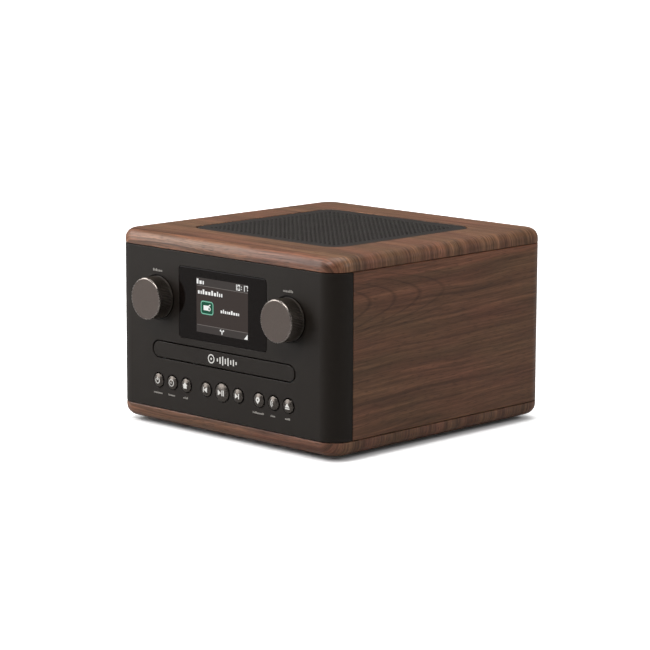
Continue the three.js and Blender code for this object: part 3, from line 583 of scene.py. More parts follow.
SCREEN_WHITE = glowing("display_white", srgb(232, 232, 230))
SCREEN_RULE = glowing("display_rule", srgb(104, 98, 95))
SCREEN_GREEN = glowing("display_green", srgb(120, 184, 160))
SCREEN_DEEP_GREEN = glowing("display_deep_green", srgb(20, 74, 54))


# ---- cabinet
def top_panel():
    low, high = box("top_panel")
    size = high - low
    outer = rounded(size.x, size.y, CORNER, steps=16)
    opening = rounded(GRILLE_OPENING, GRILLE_OPENING, GRILLE_CORNER, steps=16)
    throat = inset(opening, GRILLE_LEDGE)
    ledge = box("speaker_grille")[0].z - CHAMFER
    rings = [level(throat, low.z), level(inset(outer, CHAMFER), low.z), level(outer, low.z + CHAMFER)]
    for step, rise in quarter_round(TOP_EDGE):
        rings.append(level(inset(outer, step), high.z - TOP_EDGE + rise))
    rings.append(level(inset(opening, -CHAMFER), high.z))
    rings.append(level(opening, high.z - CHAMFER))
    rings += [level(opening, ledge), level(throat, ledge)]
    Mesh().loft(rings, loop=True).make("wood_top", WALNUT_TOP, slot="walnut", nodes=["top_panel"])


def bottom_panel():
    low, high = box("bottom_panel")
    size = high - low
    outer = rounded(size.x, size.y, CORNER, steps=16)
    rings = []
    for step, rise in reversed(quarter_round(BASE_EDGE)):
        rings.append(level(inset(outer, step), low.z + BASE_EDGE - rise))
    rings += [level(outer, high.z - CHAMFER), level(inset(outer, CHAMFER), high.z)]
    Mesh().loft(rings).make("wood_base", WALNUT_BASE, slot="walnut", nodes=["bottom_panel"])


def side_panel(side, sign):
    node = "side_panel_" + side
    low, high = box(node)
    outer = max(high.x, -low.x)
    centre = (outer - CORNER, high.y - CORNER)
    plan = [(outer - SIDE_THICKNESS, low.y), (outer, low.y)]
    plan += arc(centre, CORNER, 0, QUARTER, 16)
    plan += arc(centre, CORNER - SIDE_THICKNESS, QUARTER, 0, 16)
    if sign < 0:
        plan = [(-x, y) for x, y in reversed(plan)]
    mesh = Mesh().prism(plan, low.z, high.z, upright, rim=0.55)
    mesh.make("wood_side_" + side, WALNUT_SIDE, slot="walnut", nodes=[node])


def front_panel():
    """One moulding: a flat face with its openings, and two ends that turn round the corners."""
    low, high = box("front_panel")
    edge = 0.4
    flat = high.x - CORNER
    centre_y = low.y + CORNER
    arc_steps = 20

    def course(offset):
        """The moulding's line in plan, from its left end to its right end."""
        radius = CORNER - offset
        left = arc((-flat, centre_y), radius, math.pi, 3 * QUARTER, arc_steps)
        right = arc((flat, centre_y), radius, -QUARTER, 0, arc_steps)
        return [(low.x + offset, high.y), *left, *right, (high.x - offset, high.y)]

    mesh = Mesh()
    bands = [
        (course(0), low.z + edge), (course(0), high.z - edge), (course(edge), high.z),
        (course(PLATE), high.z), (course(PLATE), low.z), (course(edge), low.z),
    ]
    rings = [mesh.ring(level(line, z)) for line, z in bands]
    last_left = 1 + arc_steps
    with_openings = (0, 3)
    for number, ring in enumerate(rings):
        other = rings[(number + 1) % len(rings)]
        for i in range(len(ring) - 1):
            if i != last_left or number not in with_openings:
                mesh.faces.append((ring[i], ring[i + 1], other[i + 1], other[i]))
    for i in (0, -1):
        mesh.faces.append(tuple(ring[i] for ring in rings))

    through, wells = front_openings()
    face = bar(-flat, flat, low.z + edge, high.z - edge)
    inner = bar(-flat, flat, low.z, high.z)
    rims = [inset(hole, -CHAMFER) for hole in through + wells]
    mesh.sheet([face, *rims], lambda u, v: on_front(u, v, 0))
    mesh.sheet([inner, *through], lambda u, v: on_front(u, v, PLATE))
    for hole in through + wells:
        depth = PLATE if hole in through else KNOB_WELL_DEPTH
        steps = [(inset(hole, -CHAMFER), 0), (hole, CHAMFER), (hole, depth)]
        mesh.loft([[on_front(u, v, w) for u, v in line] for line, w in steps], caps=False)
        if hole in wells:
            mesh.faces.append(tuple(range(len(mesh.points) - len(hole), len(mesh.points))))
    mesh.make("front_moulding", FRONT_BLACK, slot="front_plastic", nodes=["front_panel"])


def front_openings():
    low, high = box("display_lens")
    size = (high.x - low.x + 2 * WINDOW_GAP, high.z - low.z + 2 * WINDOW_GAP)
    through = [rounded(*size, WINDOW_CORNER, (0, (low.z + high.z) / 2), 8), drawer_outline(DRAWER_GAP)]
    through += [circle(cap_radius(name) + KEY_GAP, middle_xz(name)) for name in KEYS]
    return through, [circle(KNOB_WELL, middle_xz(name), 96) for name in KNOBS]


def cap_radius(key):
    low, high = box(key)
    return (high.z - low.z) / 2 - KEY_COLLAR


def drawer_outline(gap=0.0):
    low, high = box("drawer_front")
    height = high.z - low.z + 2 * gap
    width = high.x - low.x + 2 * gap
    almost_half = height / 2 - 0.05
    return rounded(width, height, almost_half, (0, (low.z + high.z) / 2), 20)


def drawer_front():
    steps = ((0.35, 0.0), (0.0, 0.35), (0.0, PLATE))
    outline = drawer_outline()
    rings = [[on_front(u, v, w) for u, v in inset(outline, step)] for step, w in steps]
    Mesh().loft(rings).make("drawer_face", FRONT_BLACK, "tray", "front_plastic", ["drawer_front"])
    tray_low = box("disc_tray")[0].z
    clip_z = tray_low + 4.2
    for side, x in (("left", -60), ("right", 60)):
        clip = rounded(10, 1.4, 0.3, (x, clip_z), 3)
        mesh = Mesh().prism(clip, PLATE - 0.2, 8, on_front)
        mesh.make("drawer_clip_" + side, FRONT_BLACK, "tray", "front_plastic")


# ---- printed marks and icons
def mark(name, shapes, finish, near=0.0, body="root", slot=None, thickness=0.03, lift=None, face=on_front):
    """Thin shapes laid on a face. Each shape is an outline and its holes. lift(u, v) is the depth of the
    surface below its crown."""
    mesh = Mesh()

    def place(u, v, w):
        return face(u, v, w + (lift(u, v) if lift else 0.0))

    for shape in shapes:
        extra = []
        if lift:
            shape = [divided(outline, 0.5) for outline in shape]
            extra = inner_points(shape, 0.5)
        depths = (near, near - thickness)
        for w in depths:
            mesh.sheet(shape, lambda u, v: place(u, v, w), extra)
        for outline in shape:
            mesh.loft([[place(u, v, w) for u, v in outline] for w in depths], caps=False)
    return mesh.make(name, finish, body, slot)


def inner_points(outlines, step):
    """Grid points inside the first outline and outside the others, clear of their edges."""
    spots = []
    us, vs = [[p[k] for p in outlines[0]] for k in (0, 1)]
    edge = [point for outline in outlines for point in outline]
    for i in range(1, int((max(us) - min(us)) / step)):
        for j in range(1, int((max(vs) - min(vs)) / step)):
            spot = (min(us) + i * step, min(vs) + j * step)
            within, *in_holes = [encloses(outline, spot) for outline in outlines]
            if within and not any(in_holes) and all(math.dist(spot, point) > step * 0.4 for point in edge):
                spots.append(spot)
    return spots


def line(a, b, width):
    """A straight stroke with square ends."""
    a, b = Vector(a), Vector(b)
    along = b - a
    side = Vector((-along.y, along.x)).normalized() * (width / 2)
    return [tuple(corner) for corner in (a - side, b - side, b + side, a + side)]


def hoop(centre, radius, width):
    """A ring, as an outline and a hole."""
    return [circle(radius + width / 2, centre, 40), circle(radius - width / 2, centre, 40)]


def hook(centre, radius, width, start, stop):
    """Part of a ring, between two angles in degrees."""
    start, stop = math.radians(start), math.radians(stop)
    outer = arc(centre, radius + width / 2, start, stop, 24)
    return [outer + arc(centre, radius - width / 2, stop, start, 24)]


def words(x, z, width, height, seed):
    """A row of small upright dashes, as long as a short label."""
    rng = random.Random(seed)
    space = 0.28 * height
    dashes = []
    at = x - width / 2
    stop = x + width / 2
    while at < stop - space:
        end = min(at + rng.choice((0.34, 0.5, 0.62)) * height, stop)
        tall = rng.choice((0.68, 0.68, 1.0)) * height
        dashes.append([bar(at, end, z - height / 2, z - height / 2 + tall)])
        at = end + space
    return dashes


def labels():
    """The short labels under the six outer keys and over the knobs, as dashes."""
    widths = {"standby": 10, "source": 7.8, "home": 5.6, "presets": 12, "pair": 5, "eject": 5.6}
    for number, (key, width) in enumerate(widths.items()):
        x, z = middle_xz("key_" + key)
        label(key, words(x - 0.9, z - 10.2, width, 1.6, number))
    for number, name in enumerate(("volume", "select")):
        x, z = middle_xz(name + "_knob")
        label(name, words(x - 0.7, z + 21.6, 10.4, 2.1, 20 + number))


def label(name, dashes):
    mark("label_" + name, dashes, LABEL_PRINT, slot="front_plastic")


def drawer_mark():
    """A disc glyph and a row of level bars, in the middle of the drawer's front."""
    low, high = box("drawer_front")
    z = (low.z + high.z) / 2
    shapes = [hoop((-12.4, z), 3.2, 0.9), [circle(0.9, (-12.4, z), 24)]]
    heights = (2.4, 5.2, 7.0, 4.2, 6.2, 3.4, 5.0, 2.4)
    for number, height in enumerate(heights):
        x = -5.4 + number * 3.0
        shapes.append([bar(x - 0.6, x + 0.6, z - height / 2, z + height / 2)])
    mark("drawer_glyph", shapes, ICON, body="tray", slot="front_plastic")


def icon_standby(x, z):
    return [hook((x, z - 0.2), 2.1, 0.62, 125, 415), [bar(x - 0.31, x + 0.31, z + 0.2, z + 2.7)]]


def icon_source(x, z):
    return [hoop((x, z), 2.6, 0.45), [bar(x - 1.0, x + 1.0, z - 0.25, z + 0.25)]]


def icon_home(x, z):
    outline = [(-1.8, -2.3), (1.8, -2.3), (1.8, 0.1), (2.6, 0.1), (0, 2.7), (-2.6, 0.1), (-1.8, 0.1)]
    return [[[(x + u, z + v) for u, v in outline]]]


def triangle(x, z, size, sign):
    """A play triangle that points to +X or -X."""
    points = [(x - sign * size * 0.5, z - size * 0.62), (x + sign * size * 0.5, z)]
    points.append((x - sign * size * 0.5, z + size * 0.62))
    return points[::sign]


def icon_previous(x, z):
    return [[bar(x - 2.2, x - 1.4, z - 2.1, z + 2.1)], [triangle(x + 0.5, z, 3.4, -1)]]


def icon_next(x, z):
    return [[bar(x + 1.4, x + 2.2, z - 2.1, z + 2.1)], [triangle(x - 0.5, z, 3.4, 1)]]


def icon_play_pause(x, z):
    bars = [[bar(x + at, x + at + 0.8, z - 2.3, z + 2.3)] for at in (0.9, 2.4)]
    return [[triangle(x - 1.6, z, 3.8, 1)], *bars]


def icon_presets(x, z):
    """A marker pin."""
    pin = arc((x, z + 0.5), 2.1, math.radians(-25), math.radians(205), 24) + [(x, z - 2.7)]
    return [[pin, circle(0.8, (x, z + 0.5), 16)]]


def icon_pair(x, z):
    """Two radio waves."""
    return [hook((x + 1.6, z), radius, 0.6, 125, 235) for radius in (1.8, 3.4)]


def icon_eject(x, z):
    """A wide triangle over a bar."""
    wide = [(x - 2.3, z - 0.7), (x + 2.3, z - 0.7), (x, z + 2.4)]
    return [[wide], [bar(x - 2.3, x + 2.3, z - 2.3, z - 1.3)]]


ICONS = (
    icon_standby, icon_source, icon_home, icon_previous, icon_play_pause, icon_next, icon_presets,
    icon_pair, icon_eject,
)


# ---- keys and knobs
def key(name, icon):
    """A domed cap with a soft shoulder, its collar and stem, and its icon on the dome."""
    low, high = box(name)
    x, z = middle_xz(name)
    radius = cap_radius(name)
    face, back = low.y - FRONT, high.y - FRONT
    crown, shoulder, bevel = 1.0, radius - 0.75, 0.75

    def lift(u, v):
        return crown * ((u - x) ** 2 + (v - z) ** 2) / shoulder**2

    profile = [(0.0, face)]
    for i in range(1, 11):
        r = shoulder * i / 10
        profile.append((r, face + crown * (r / shoulder) ** 2))
    for step, rise in reversed(quarter_round(bevel, 6)[:-1]):
        profile.append((radius - step, face + crown + bevel - rise))
    collar = PLATE + CHAMFER
    profile += [
        (radius, collar), (radius + KEY_COLLAR, collar), (radius + KEY_COLLAR, collar + 1),
        (1.8, collar + 1), (1.8, back), (0.0, back),
    ]
    mesh = Mesh().turn(profile, (x, z), on_front)
    mesh.make(name + "_cap", KEY_METAL, name, "key_metal", [name])
    mark(name + "_icon", icon(x, z), ICON, face, name, "key_metal", 0.12, lift)


def knob(name):
    """A satin metal cap in a bright rim, on a knurled dark skirt."""
    low, high = box(name)
    at = middle_xz(name)
    face, back = low.y - FRONT, high.y - FRONT
    radius = (high.x - low.x) / 2
    ribs = 84
    depth = 0.42

    def knurl(r, w, angle):
        return depth * math.cos(ribs * angle) if r > radius - 0.55 and w < back - 1.4 else 0.0

    skirt = [
        (radius - 0.9, face + 1.0), (radius - 0.5, face + 1.15), (radius - 0.43, face + 1.6),
        (radius - 0.43, back - 1.5), (radius - 0.05, back - 1.2), (radius, back - 1.0),
        (radius - 0.1, back - 0.2), (radius - 0.4, back), (radius - 2.4, back),
        (radius - 2.4, face + 3.0), (6.0, face + 3.0), (6.0, face + 11.2), (3.3, face + 11.2),
        (3.3, face + 3.5), (0.0, face + 3.5), (0.0, face + 1.1),
    ]
    mesh = Mesh().turn(skirt, at, on_front, 6 * ribs, knurl)
    mesh.strip(range(6 * ribs), [len(mesh.points) - 1])
    mesh.make(name + "_skirt", KNOB_SIDE, name, "knob_metal", [name], sharp=50)
    rim = radius - 1.0
    cap = [
        (0.0, face + 0.1), (radius * 0.6, face + 0.06), (rim, face), (rim, face + 0.9),
        (0.0, face + 0.9),
    ]
    disc = Mesh().turn(cap, at, on_front, 128)
    disc.make(name + "_cap", KNOB_FACE, name, "knob_metal", sharp=60)
    bevel = [
        (rim, face), (rim + 0.3, face + 0.02), (radius - 0.25, face + 0.32),
        (radius - 0.05, face + 0.7), (radius - 0.05, face + 1.0), (radius - 0.2, face + 1.15),
        (rim, face + 1.15),
    ]
    ring = Mesh().turn(bevel, at, on_front, 128, loop=True)
    ring.make(name + "_rim", KNOB_RIM, name, "knob_metal", sharp=60)


# ---- display
def display():
    low, high = box("display_lens")
    centre = (0, (low.z + high.z) / 2)
    outline = rounded(high.x - low.x, high.z - low.z, WINDOW_CORNER - WINDOW_GAP, centre, 8)
    steps = ((0.5, 0.02), (0.12, 0.14), (0.0, 0.5), (0.0, 2.0))
    rings = [[on_front(u, v, w) for u, v in inset(outline, step)] for step, w in steps]
    Mesh().loft(rings).make("window_pane", WINDOW, slot="window_glass", nodes=["display_lens"], sharp=40)
    picture(centre[1])


def picture(z):
    """What the display shows: a status bar with a clock, two lines, a station tile, and a footer."""
    w, h = PICTURE
    left, right, bottom, top = -w / 2, w / 2, z - h / 2, z + h / 2
    bar_bottom, footer = top - 6.3, bottom + 5.8
    tile = (left + 12.0, z - 1.6)
    rules = [[bar(left + 0.6, right, y - 0.25, y + 0.25)] for y in (bar_bottom, footer)]
    layers = [
        ("ground", [[bar(left, right, bottom, top)]], SCREEN),
        ("status_bar", [[bar(left, right, bar_bottom, top)]], SCREEN_BAR),
        ("footer", [[bar(left, right, bottom, footer)]], SCREEN_BAR), ("rules", rules, SCREEN_RULE),
        ("tile", [[rounded(14.2, 10.6, 2.4, tile, 6)]], SCREEN_GREEN),
        ("tile_ground", [[rounded(12.6, 9.0, 1.7, tile, 6)]], SCREEN_DEEP_GREEN),
        ("symbols", symbols(left, right, bottom, top, tile), SCREEN_WHITE),
        ("clock", clock(right - 14.4, bar_bottom + 1.3, 3.9), SCREEN_WHITE),
    ]
    skin = 0.02
    for number, (name, shapes, finish) in enumerate(layers):
        near = skin * (1 - min(number, 6))
        mark("display_" + name, shapes, finish, near, slot="window_glass", thickness=skin)


def symbols(left, right, bottom, top, tile):
    """The texts, a small radio in the tile, a branch in the footer and a wedge in the corner."""
    x, z = tile
    shapes = words(left + 5.2, top - 3.0, 9.6, 4.0, 40)
    shapes += words(left + 16.6, top - 10.9, 29.6, 3.8, 41)
    shapes += words(left + 38.4, z - 0.6, 22.0, 3.0, 42)
    shapes += [
        [bar(x - 3.9, x + 1.6, z - 2.0, z + 1.8)], [line((x + 1.2, z + 1.2), (x + 3.8, z + 2.8), 0.8)],
        hoop((x + 2.4, z - 0.6), 1.3, 0.7),
    ]
    x, z = (left + right) / 2, bottom + 1.0
    shapes += [
        [bar(x - 0.5, x + 0.5, z, z + 1.9)], [circle(0.8, (x - 1.6, z + 3.0), 16)],
        [circle(0.8, (x + 1.6, z + 3.0), 16)], [circle(0.7, (x, z + 2.2), 16)],
    ]
    shapes.append([[(right - 4.2, bottom + 0.5), (right - 0.3, bottom + 0.5), (right - 0.3, bottom + 4.6)]])
    return shapes


def clock(left, base, height):
    """The time, as plain digits of straight strokes."""
    strokes = {"0": "abcdef", "1": "h", "7": "abc"}
    width, pen, half = height * 0.5, height * 0.18, height / 2
    ends = {
        "a": ((0, height), (width, height)), "b": ((width, half), (width, height)),
        "c": ((width, 0), (width, half)), "d": ((0, 0), (width, 0)), "e": ((0, 0), (0, half)),
        "f": ((0, half), (0, height)), "h": ((width, -pen), (width, height + pen)),
    }
    shapes = []
    x = left
    for digit in "10:17":
        if digit == ":":
            for rise in (0.25, 0.7):
                z = base + rise * height
                shapes.append([bar(x, x + pen, z - pen / 2, z + pen / 2)])
            x += 2.4 * pen
            continue
        for stroke in strokes[digit]:
            (ax, az), (bx, bz) = ends[stroke]
            reach = pen / 2
            if az == bz:
                shapes.append([bar(x + ax - reach, x + bx + reach, base + az - reach, base + az + reach)])
            else:
                shapes.append([bar(x + ax - reach, x + ax + reach, base + az + reach, base + bz - reach)])
        x += width + 2.2 * pen
    return shapes


# ---- grille
def grille():
    """The perforated plate: round holes in a square grid that is turned by 45 degrees."""
    low, high = box("speaker_grille")
    size = high.x - low.x
    rim_gap = 0.45
    outlines = [rounded(size - 2 * rim_gap, size - 2 * rim_gap, GRILLE_CORNER - CHAMFER - rim_gap)]
    step = HOLE_PITCH / math.sqrt(2)
    reach = int(PERFORATED / 2 / step)
    for i in range(-reach, reach + 1):
        for j in range(-reach, reach + 1):
            if (i + j) % 2 == 0:
                outlines.append(circle(HOLE_RADIUS, (i * step, j * step), 12))
    mesh = Mesh().plate(outlines, high.z, low.z, upright, rim=0.12, border=0.7)
    mesh.make("perforated_grille", GRILLE_METAL, slot="grille_metal", nodes=["speaker_grille"])


# ---- feet
def foot(node):
    low, high = box(node)
    at = (low + high) / 2
    profile = [
        (0.0, 0.4), (3.0, 0.4), (3.4, 0.0), (8.0, 0.0), (8.6, 0.3), (9.0, 0.9), (9.0, high.z),
        (0.0, high.z),
    ]
    mesh = Mesh().turn(profile, (at.x, at.y), upright)
    mesh.make(node + "_pad", RUBBER, slot="foot_rubber", nodes=[node])


# ---- back
PORT = (55.0, 95.0)
PORT_RADIUS = 16.0
VENT_X = (-74.0, -10.0)
VENT_ROWS = [74.0 + 8.0 * row for row in range(6)]
AUDIO_SPREAD = 8.0


def rear_panel():
    """The back moulding, with rounded vent slots and a flared lip round the reflex port."""
    low, high = box("rear_panel")
    outline = rounded(high.x - low.x, high.z - low.z, 0.8, (0, (low.z + high.z) / 2), 4)
    holes = [circle(PORT_RADIUS + 2.5, PORT, 72)]
    vent_width, vent_middle = VENT_X[1] - VENT_X[0], sum(VENT_X) / 2
    holes += [rounded(vent_width, 3.0, 1.4, (vent_middle, z), 6) for z in VENT_ROWS]
    holes += [circle(radius + 0.3, (x, z), 40) for x, z, radius in sockets()]
    holes += [circle(1.8, middle_xz("rear_screw_" + side), 24) for side in ("left", "right")]
    mesh = Mesh().plate([outline, *holes], 0, PLATE, on_back, rim=0.4)
    mesh.make("rear_moulding", REAR_BLACK, slot="rear_plastic", nodes=["rear_panel"])
    tube_end = BACK - low.y
    lip = [
        (PORT_RADIUS, tube_end), (PORT_RADIUS, 9.0), (PORT_RADIUS + 0.3, 4.5), (PORT_RADIUS + 1.2, 1.6),
        (PORT_RADIUS + 2.8, -0.3), (PORT_RADIUS + 4.6, -1.0), (PORT_RADIUS + 5.4, -0.7),
        (PORT_RADIUS + 5.6, 0.0), (PORT_RADIUS + 2.3, 0.2), (PORT_RADIUS + 2.3, tube_end),
    ]
    ring = Mesh().turn(lip, PORT, on_back, 96, loop=True)
    ring.make("reflex_port", REAR_BLACK, slot="rear_plastic")


def sockets():
    """Centre and radius of the round sockets in the back."""
    power = middle("dc_jack")
    z = power.z + 1.0
    centre = middle("audio_jacks").x
    audio = [(centre + side * AUDIO_SPREAD, z, 3.6) for side in (-1, 1)]
    return [(power.x, z, 4.6), *audio, (*middle_xz("aerial_socket"), 5.0)]


def socket(at, radius, bore, depth, flange):
    """A round socket: a barrel with a chamfered mouth, and its housing behind the back moulding."""
    barrel = [
        (bore, depth), (bore, 0.5), (bore + 0.4, 0.1), (radius - 0.4, 0.1), (radius, 0.5),
        (radius, PLATE + 0.3), (flange, PLATE + 0.3), (flange, depth + 1.5), (0.0, depth + 1.5),
        (0.0, depth),
    ]
    return Mesh().turn(barrel, at, on_back, 48)


def rear_sockets():
    power, left, right, _ = sockets()
    x, z, radius = power
    socket((x, z), radius, 2.9, 9.0, 5.0).make("dc_socket", REAR_BLACK, nodes=["dc_jack"])
    pin = [(0.0, 0.8), (0.6, 0.8), (1.0, 1.3), (1.0, 10.0), (0.0, 10.0)]
    Mesh().turn(pin, (x, z), on_back, 24).make("dc_socket_pin", BRASS)
    for side, (x, z, radius) in (("left", left), ("right", right)):
        nodes = ["audio_jacks"] if side == "left" else []
        mesh = socket((x, z), radius, 1.85, 12.0, 4.6)
        mesh.make("audio_socket_" + side, REAR_BLACK, nodes=nodes)
        collar = [(1.9, 0.3), (2.9, 0.3), (2.9, -0.1), (2.1, -0.1), (1.9, 0.1)]
        Mesh().turn(collar, (x, z), on_back, 48, loop=True).make("audio_collar_" + side, CHROME)


def rear_symbols():
    """Generic pictograms over the sockets: a plug, headphones and a line input."""
    power, left, right, _ = sockets()
    above = 9.0
    x, z = power[0], power[1] + above
    plug = [[bar(x - 1.6, x + 1.6, z - 1.4, z + 0.8)], [bar(x - 0.3, x + 0.3, z - 3.2, z - 1.5)]]
    plug += [[bar(x + side - 0.3, x + side + 0.3, z + 0.9, z + 2.4)] for side in (-0.9, 0.9)]
    x = left[0]
    phones = [hook((x, z), 2.2, 0.5, 0, 180)]
    phones += [[rounded(1.2, 2.2, 0.4, (x + side, z - 1.2), 4)] for side in (-2.0, 2.0)]
    x = right[0]
    arrow = [hoop((x, z - 0.2), 2.3, 0.45), [triangle(x + 0.3, z - 0.2, 1.6, 1)]]
    arrow.append([bar(x - 3.6, x - 0.6, z - 0.4, z)])
    for name, shapes in (("power", plug), ("headphones", phones), ("line", arrow)):
        mark("symbol_" + name, shapes, PRINT, slot="rear_plastic", face=on_back)


def rear_screw(side):
    """A pan-head screw with a cross recess."""
    node = "rear_screw_" + side
    low, high = box(node)
    at = middle_xz(node)
    head = BACK - high.y
    profile = [
        (0.0, head), (1.6, head + 0.12), (2.6, head + 0.5), (3.1, head + 1.0), (3.2, head + 1.5),
        (3.2, -0.3), (1.5, -0.3), (1.5, BACK - low.y - 2.0), (0.0, BACK - low.y),
    ]
    mesh = Mesh().turn(profile, at, on_back, 48)
    slots = []
    for width, height in ((3.6, 0.8), (0.8, 3.6)):
        outline = rounded(width, height, 0.15, at, 2)
        slots.append(Mesh().prism(outline, head - 1.0, head + 1.1, on_back, 0.05))
    finished(mesh.carved(node, slots), node + "_head", BLACK_SCREW, nodes=[node])


# ---- aerial
def on_mast(u, v, w):
    """w runs along the folded mast, from the elbow's pin."""
    pin = elbow()
    return (pin.x + w, pin.y + u, pin.z + v)


def elbow():
    knuckle_low, knuckle_high = box("aerial_knuckle")
    mast = middle("aerial_mast_base")
    return Vector(((knuckle_low.x + knuckle_high.x) / 2, mast.y, mast.z))


def knuckle():
    """The sleeve that turns on the socket, and the fork and pin that hold the mast."""
    pin = elbow()
    low = box("aerial_knuckle")[0]
    socket_high = box("aerial_socket")[1].y
    cup = BACK - socket_high - 0.3
    front = BACK - low.y
    back = -5.9
    sleeve = [
        (0.0, back), (4.9, back), (5.4, back + 0.5), (5.5, back + 1.0), (5.5, front - 0.4),
        (5.1, front), (3.9, front), (3.9, cup), (0.0, cup),
    ]
    mesh = Mesh().turn(sleeve, (pin.x, pin.z), on_back, 64)
    mesh.make("aerial_sleeve", REAR_BLACK, "aerial_knuckle", "rear_plastic", ["aerial_knuckle"])
    ear = [(pin.x + 4, BACK + 5.7), *arc((pin.x, pin.y), 4, 0, math.pi, 24), (pin.x - 4, BACK + 5.7)]
    for side, start, stop in (("lower", -3.6, -1.5), ("upper", 1.5, 3.6)):
        fork = Mesh().prism(ear, pin.z + start, pin.z + stop, upright, 0.25)
        fork.make("aerial_ear_" + side, REAR_BLACK, "aerial_knuckle", "rear_plastic")
    rivet = [(0.0, 3.75), (0.8, 3.7), (1.4, 3.5), (1.4, -3.5), (0.8, -3.7), (0.0, -3.75)]
    rivet = [(radius, pin.z + rise) for radius, rise in rivet]
    pivot = Mesh().turn(rivet, (pin.x, pin.y), upright, 32)
    pivot.make("aerial_pin", CHROME, "aerial_knuckle", "chrome")


def mast():
    """Three chromed tubes that slide in each other, with a turned cap on the thinnest."""
    pin = elbow()

    def span(section):
        """Where a section starts and ends, from the pin."""
        return [corner.x - pin.x for corner in box("aerial_mast_" + section)]

    inner, tip = span("middle"), span("tip")
    start = 6.0
    end = span("base")[1]
    tube = [
        (2.7, start + 2), (2.7, end - 0.3), (2.9, end), (3.0, end), (3.2, end - 0.3),
        (3.2, start + 0.5), (2.8, start), (0.0, start), (0.0, start + 2),
    ]
    mesh = Mesh().turn(tube, (0, 0), on_mast, 48)
    mesh.make("aerial_base_tube", CHROME, "mast_base", "chrome", ["aerial_mast_base"])
    blade = arc((0, 0), 3.3, QUARTER, 3 * QUARTER, 20) + [(start + 0.6, -2.2), (start + 0.6, 2.2)]
    blade = [(pin.x + u, pin.y + v) for u, v in blade]
    tongue = Mesh().prism(blade, pin.z - 1.2, pin.z + 1.2, upright, 0.2)
    tongue.make("aerial_tongue", CHROME, "mast_base", "chrome")
    sleeve = [
        (1.9, inner[0] + 2), (1.9, inner[1] - 0.2), (2.2, inner[1]), (2.4, inner[1] - 0.3),
        (2.4, inner[0]), (0.0, inner[0]), (0.0, inner[0] + 2),
    ]
    mesh = Mesh().turn(sleeve, (0, 0), on_mast, 48)
    mesh.make("aerial_middle_tube", CHROME, "mast_middle", "chrome", ["aerial_mast_middle"])
    cap = tip[1] - 7.0
    rod = [
        (0.0, tip[0]), (1.4, tip[0]), (1.6, tip[0] + 0.3), (1.6, cap), (2.9, cap), (3.15, cap + 0.4),
        (3.2, cap + 1.5), (2.9, cap + 2.1), (2.9, cap + 2.9), (3.2, cap + 3.5), (3.2, cap + 5.0),
        (2.7, cap + 6.4), (1.6, tip[1]), (0.0, tip[1]),
    ]
    mesh = Mesh().turn(rod, (0, 0), on_mast, 48)
    mesh.make("aerial_tip_rod", CHROME, "mast_tip", "chrome", ["aerial_mast_tip"])


# ---- disc player
DISC_RADIUS = 60.8
SMALL_DISC_RADIUS = 40.8
DISC_MIDDLE = -52.0
TRAY_HALF = 70.0
MODULE = 1.5  # the size of the teeth on the gear and the rack
GEAR_TEETH = 14


def disc_tray():
    """The tray, with its two disc pockets, the slot over the pickup and the finger notch, and its rack."""
    low, high = box("disc_tray")
    top, bottom = high.z, high.z - 7.8
    outline = rounded(2 * TRAY_HALF, high.y - low.y, 2.0, (0, (low.y + high.y) / 2), 6)
    blank = Mesh().prism(outline, top, bottom, upright, 0.4)
    pockets = []
    for radius, floor_height in ((DISC_RADIUS, top - 5.0), (SMALL_DISC_RADIUS, top - 6.0)):
        profile = [
            (0.0, floor_height), (radius - 0.6, floor_height), (radius, floor_height + 0.6),
            (radius, top - 0.6), (radius + 0.6, top), (radius + 1.6, top + 1.0), (0.0, top + 1.0),
        ]
        pockets.append(Mesh().turn(profile, (0, DISC_MIDDLE), upright, 128))
    slot = rounded(40.0, 85.0, 4.0, (0, DISC_MIDDLE + 23.5), 8)
    pockets.append(Mesh().prism(slot, bottom - 1.0, top + 1.0, upright, 0.1))
    notch = [(0.0, top - 3.4), (7.5, top - 3.4), (9.0, top - 1.9), (9.0, top + 1.0), (0.0, top + 1.0)]
    pockets.append(Mesh().turn(notch, (0, low.y + 2), upright, 48))
    data = blank.carved("disc_tray", pockets)
    finished(data, "tray_deck", TRAY_BLACK, "tray", ["disc_tray"], sharp=30)
    rack(bottom)


def rack(top):
    """Straight teeth under the tray's left side, which face +X. A tooth is level with the gear's axis."""
    low, high = box("disc_tray")
    gear = middle("tray_gear")
    pitch = math.pi * MODULE
    pitch_line = gear.x - GEAR_TEETH * MODULE / 2
    tip, root = pitch_line + 0.8 * MODULE, pitch_line - 1.1 * MODULE
    tip_half, root_half = 0.46 * MODULE, 1.15 * MODULE
    first = -2
    last = int((high.y - 3 - gear.y) / pitch)
    outline = []
    for tooth in range(first, last + 1):
        y = gear.y + tooth * pitch
        outline += [(root, y - root_half), (tip, y - tip_half), (tip, y + tip_half), (root, y + root_half)]
    back = root - 3
    outline += [(back, y + root_half), (back, gear.y + first * pitch - root_half)]
    mesh = Mesh().prism(outline, low.z, top + 0.2, upright, 0.0)
    mesh.make("tray_rack", TRAY_BLACK, "tray", "tray_plastic")


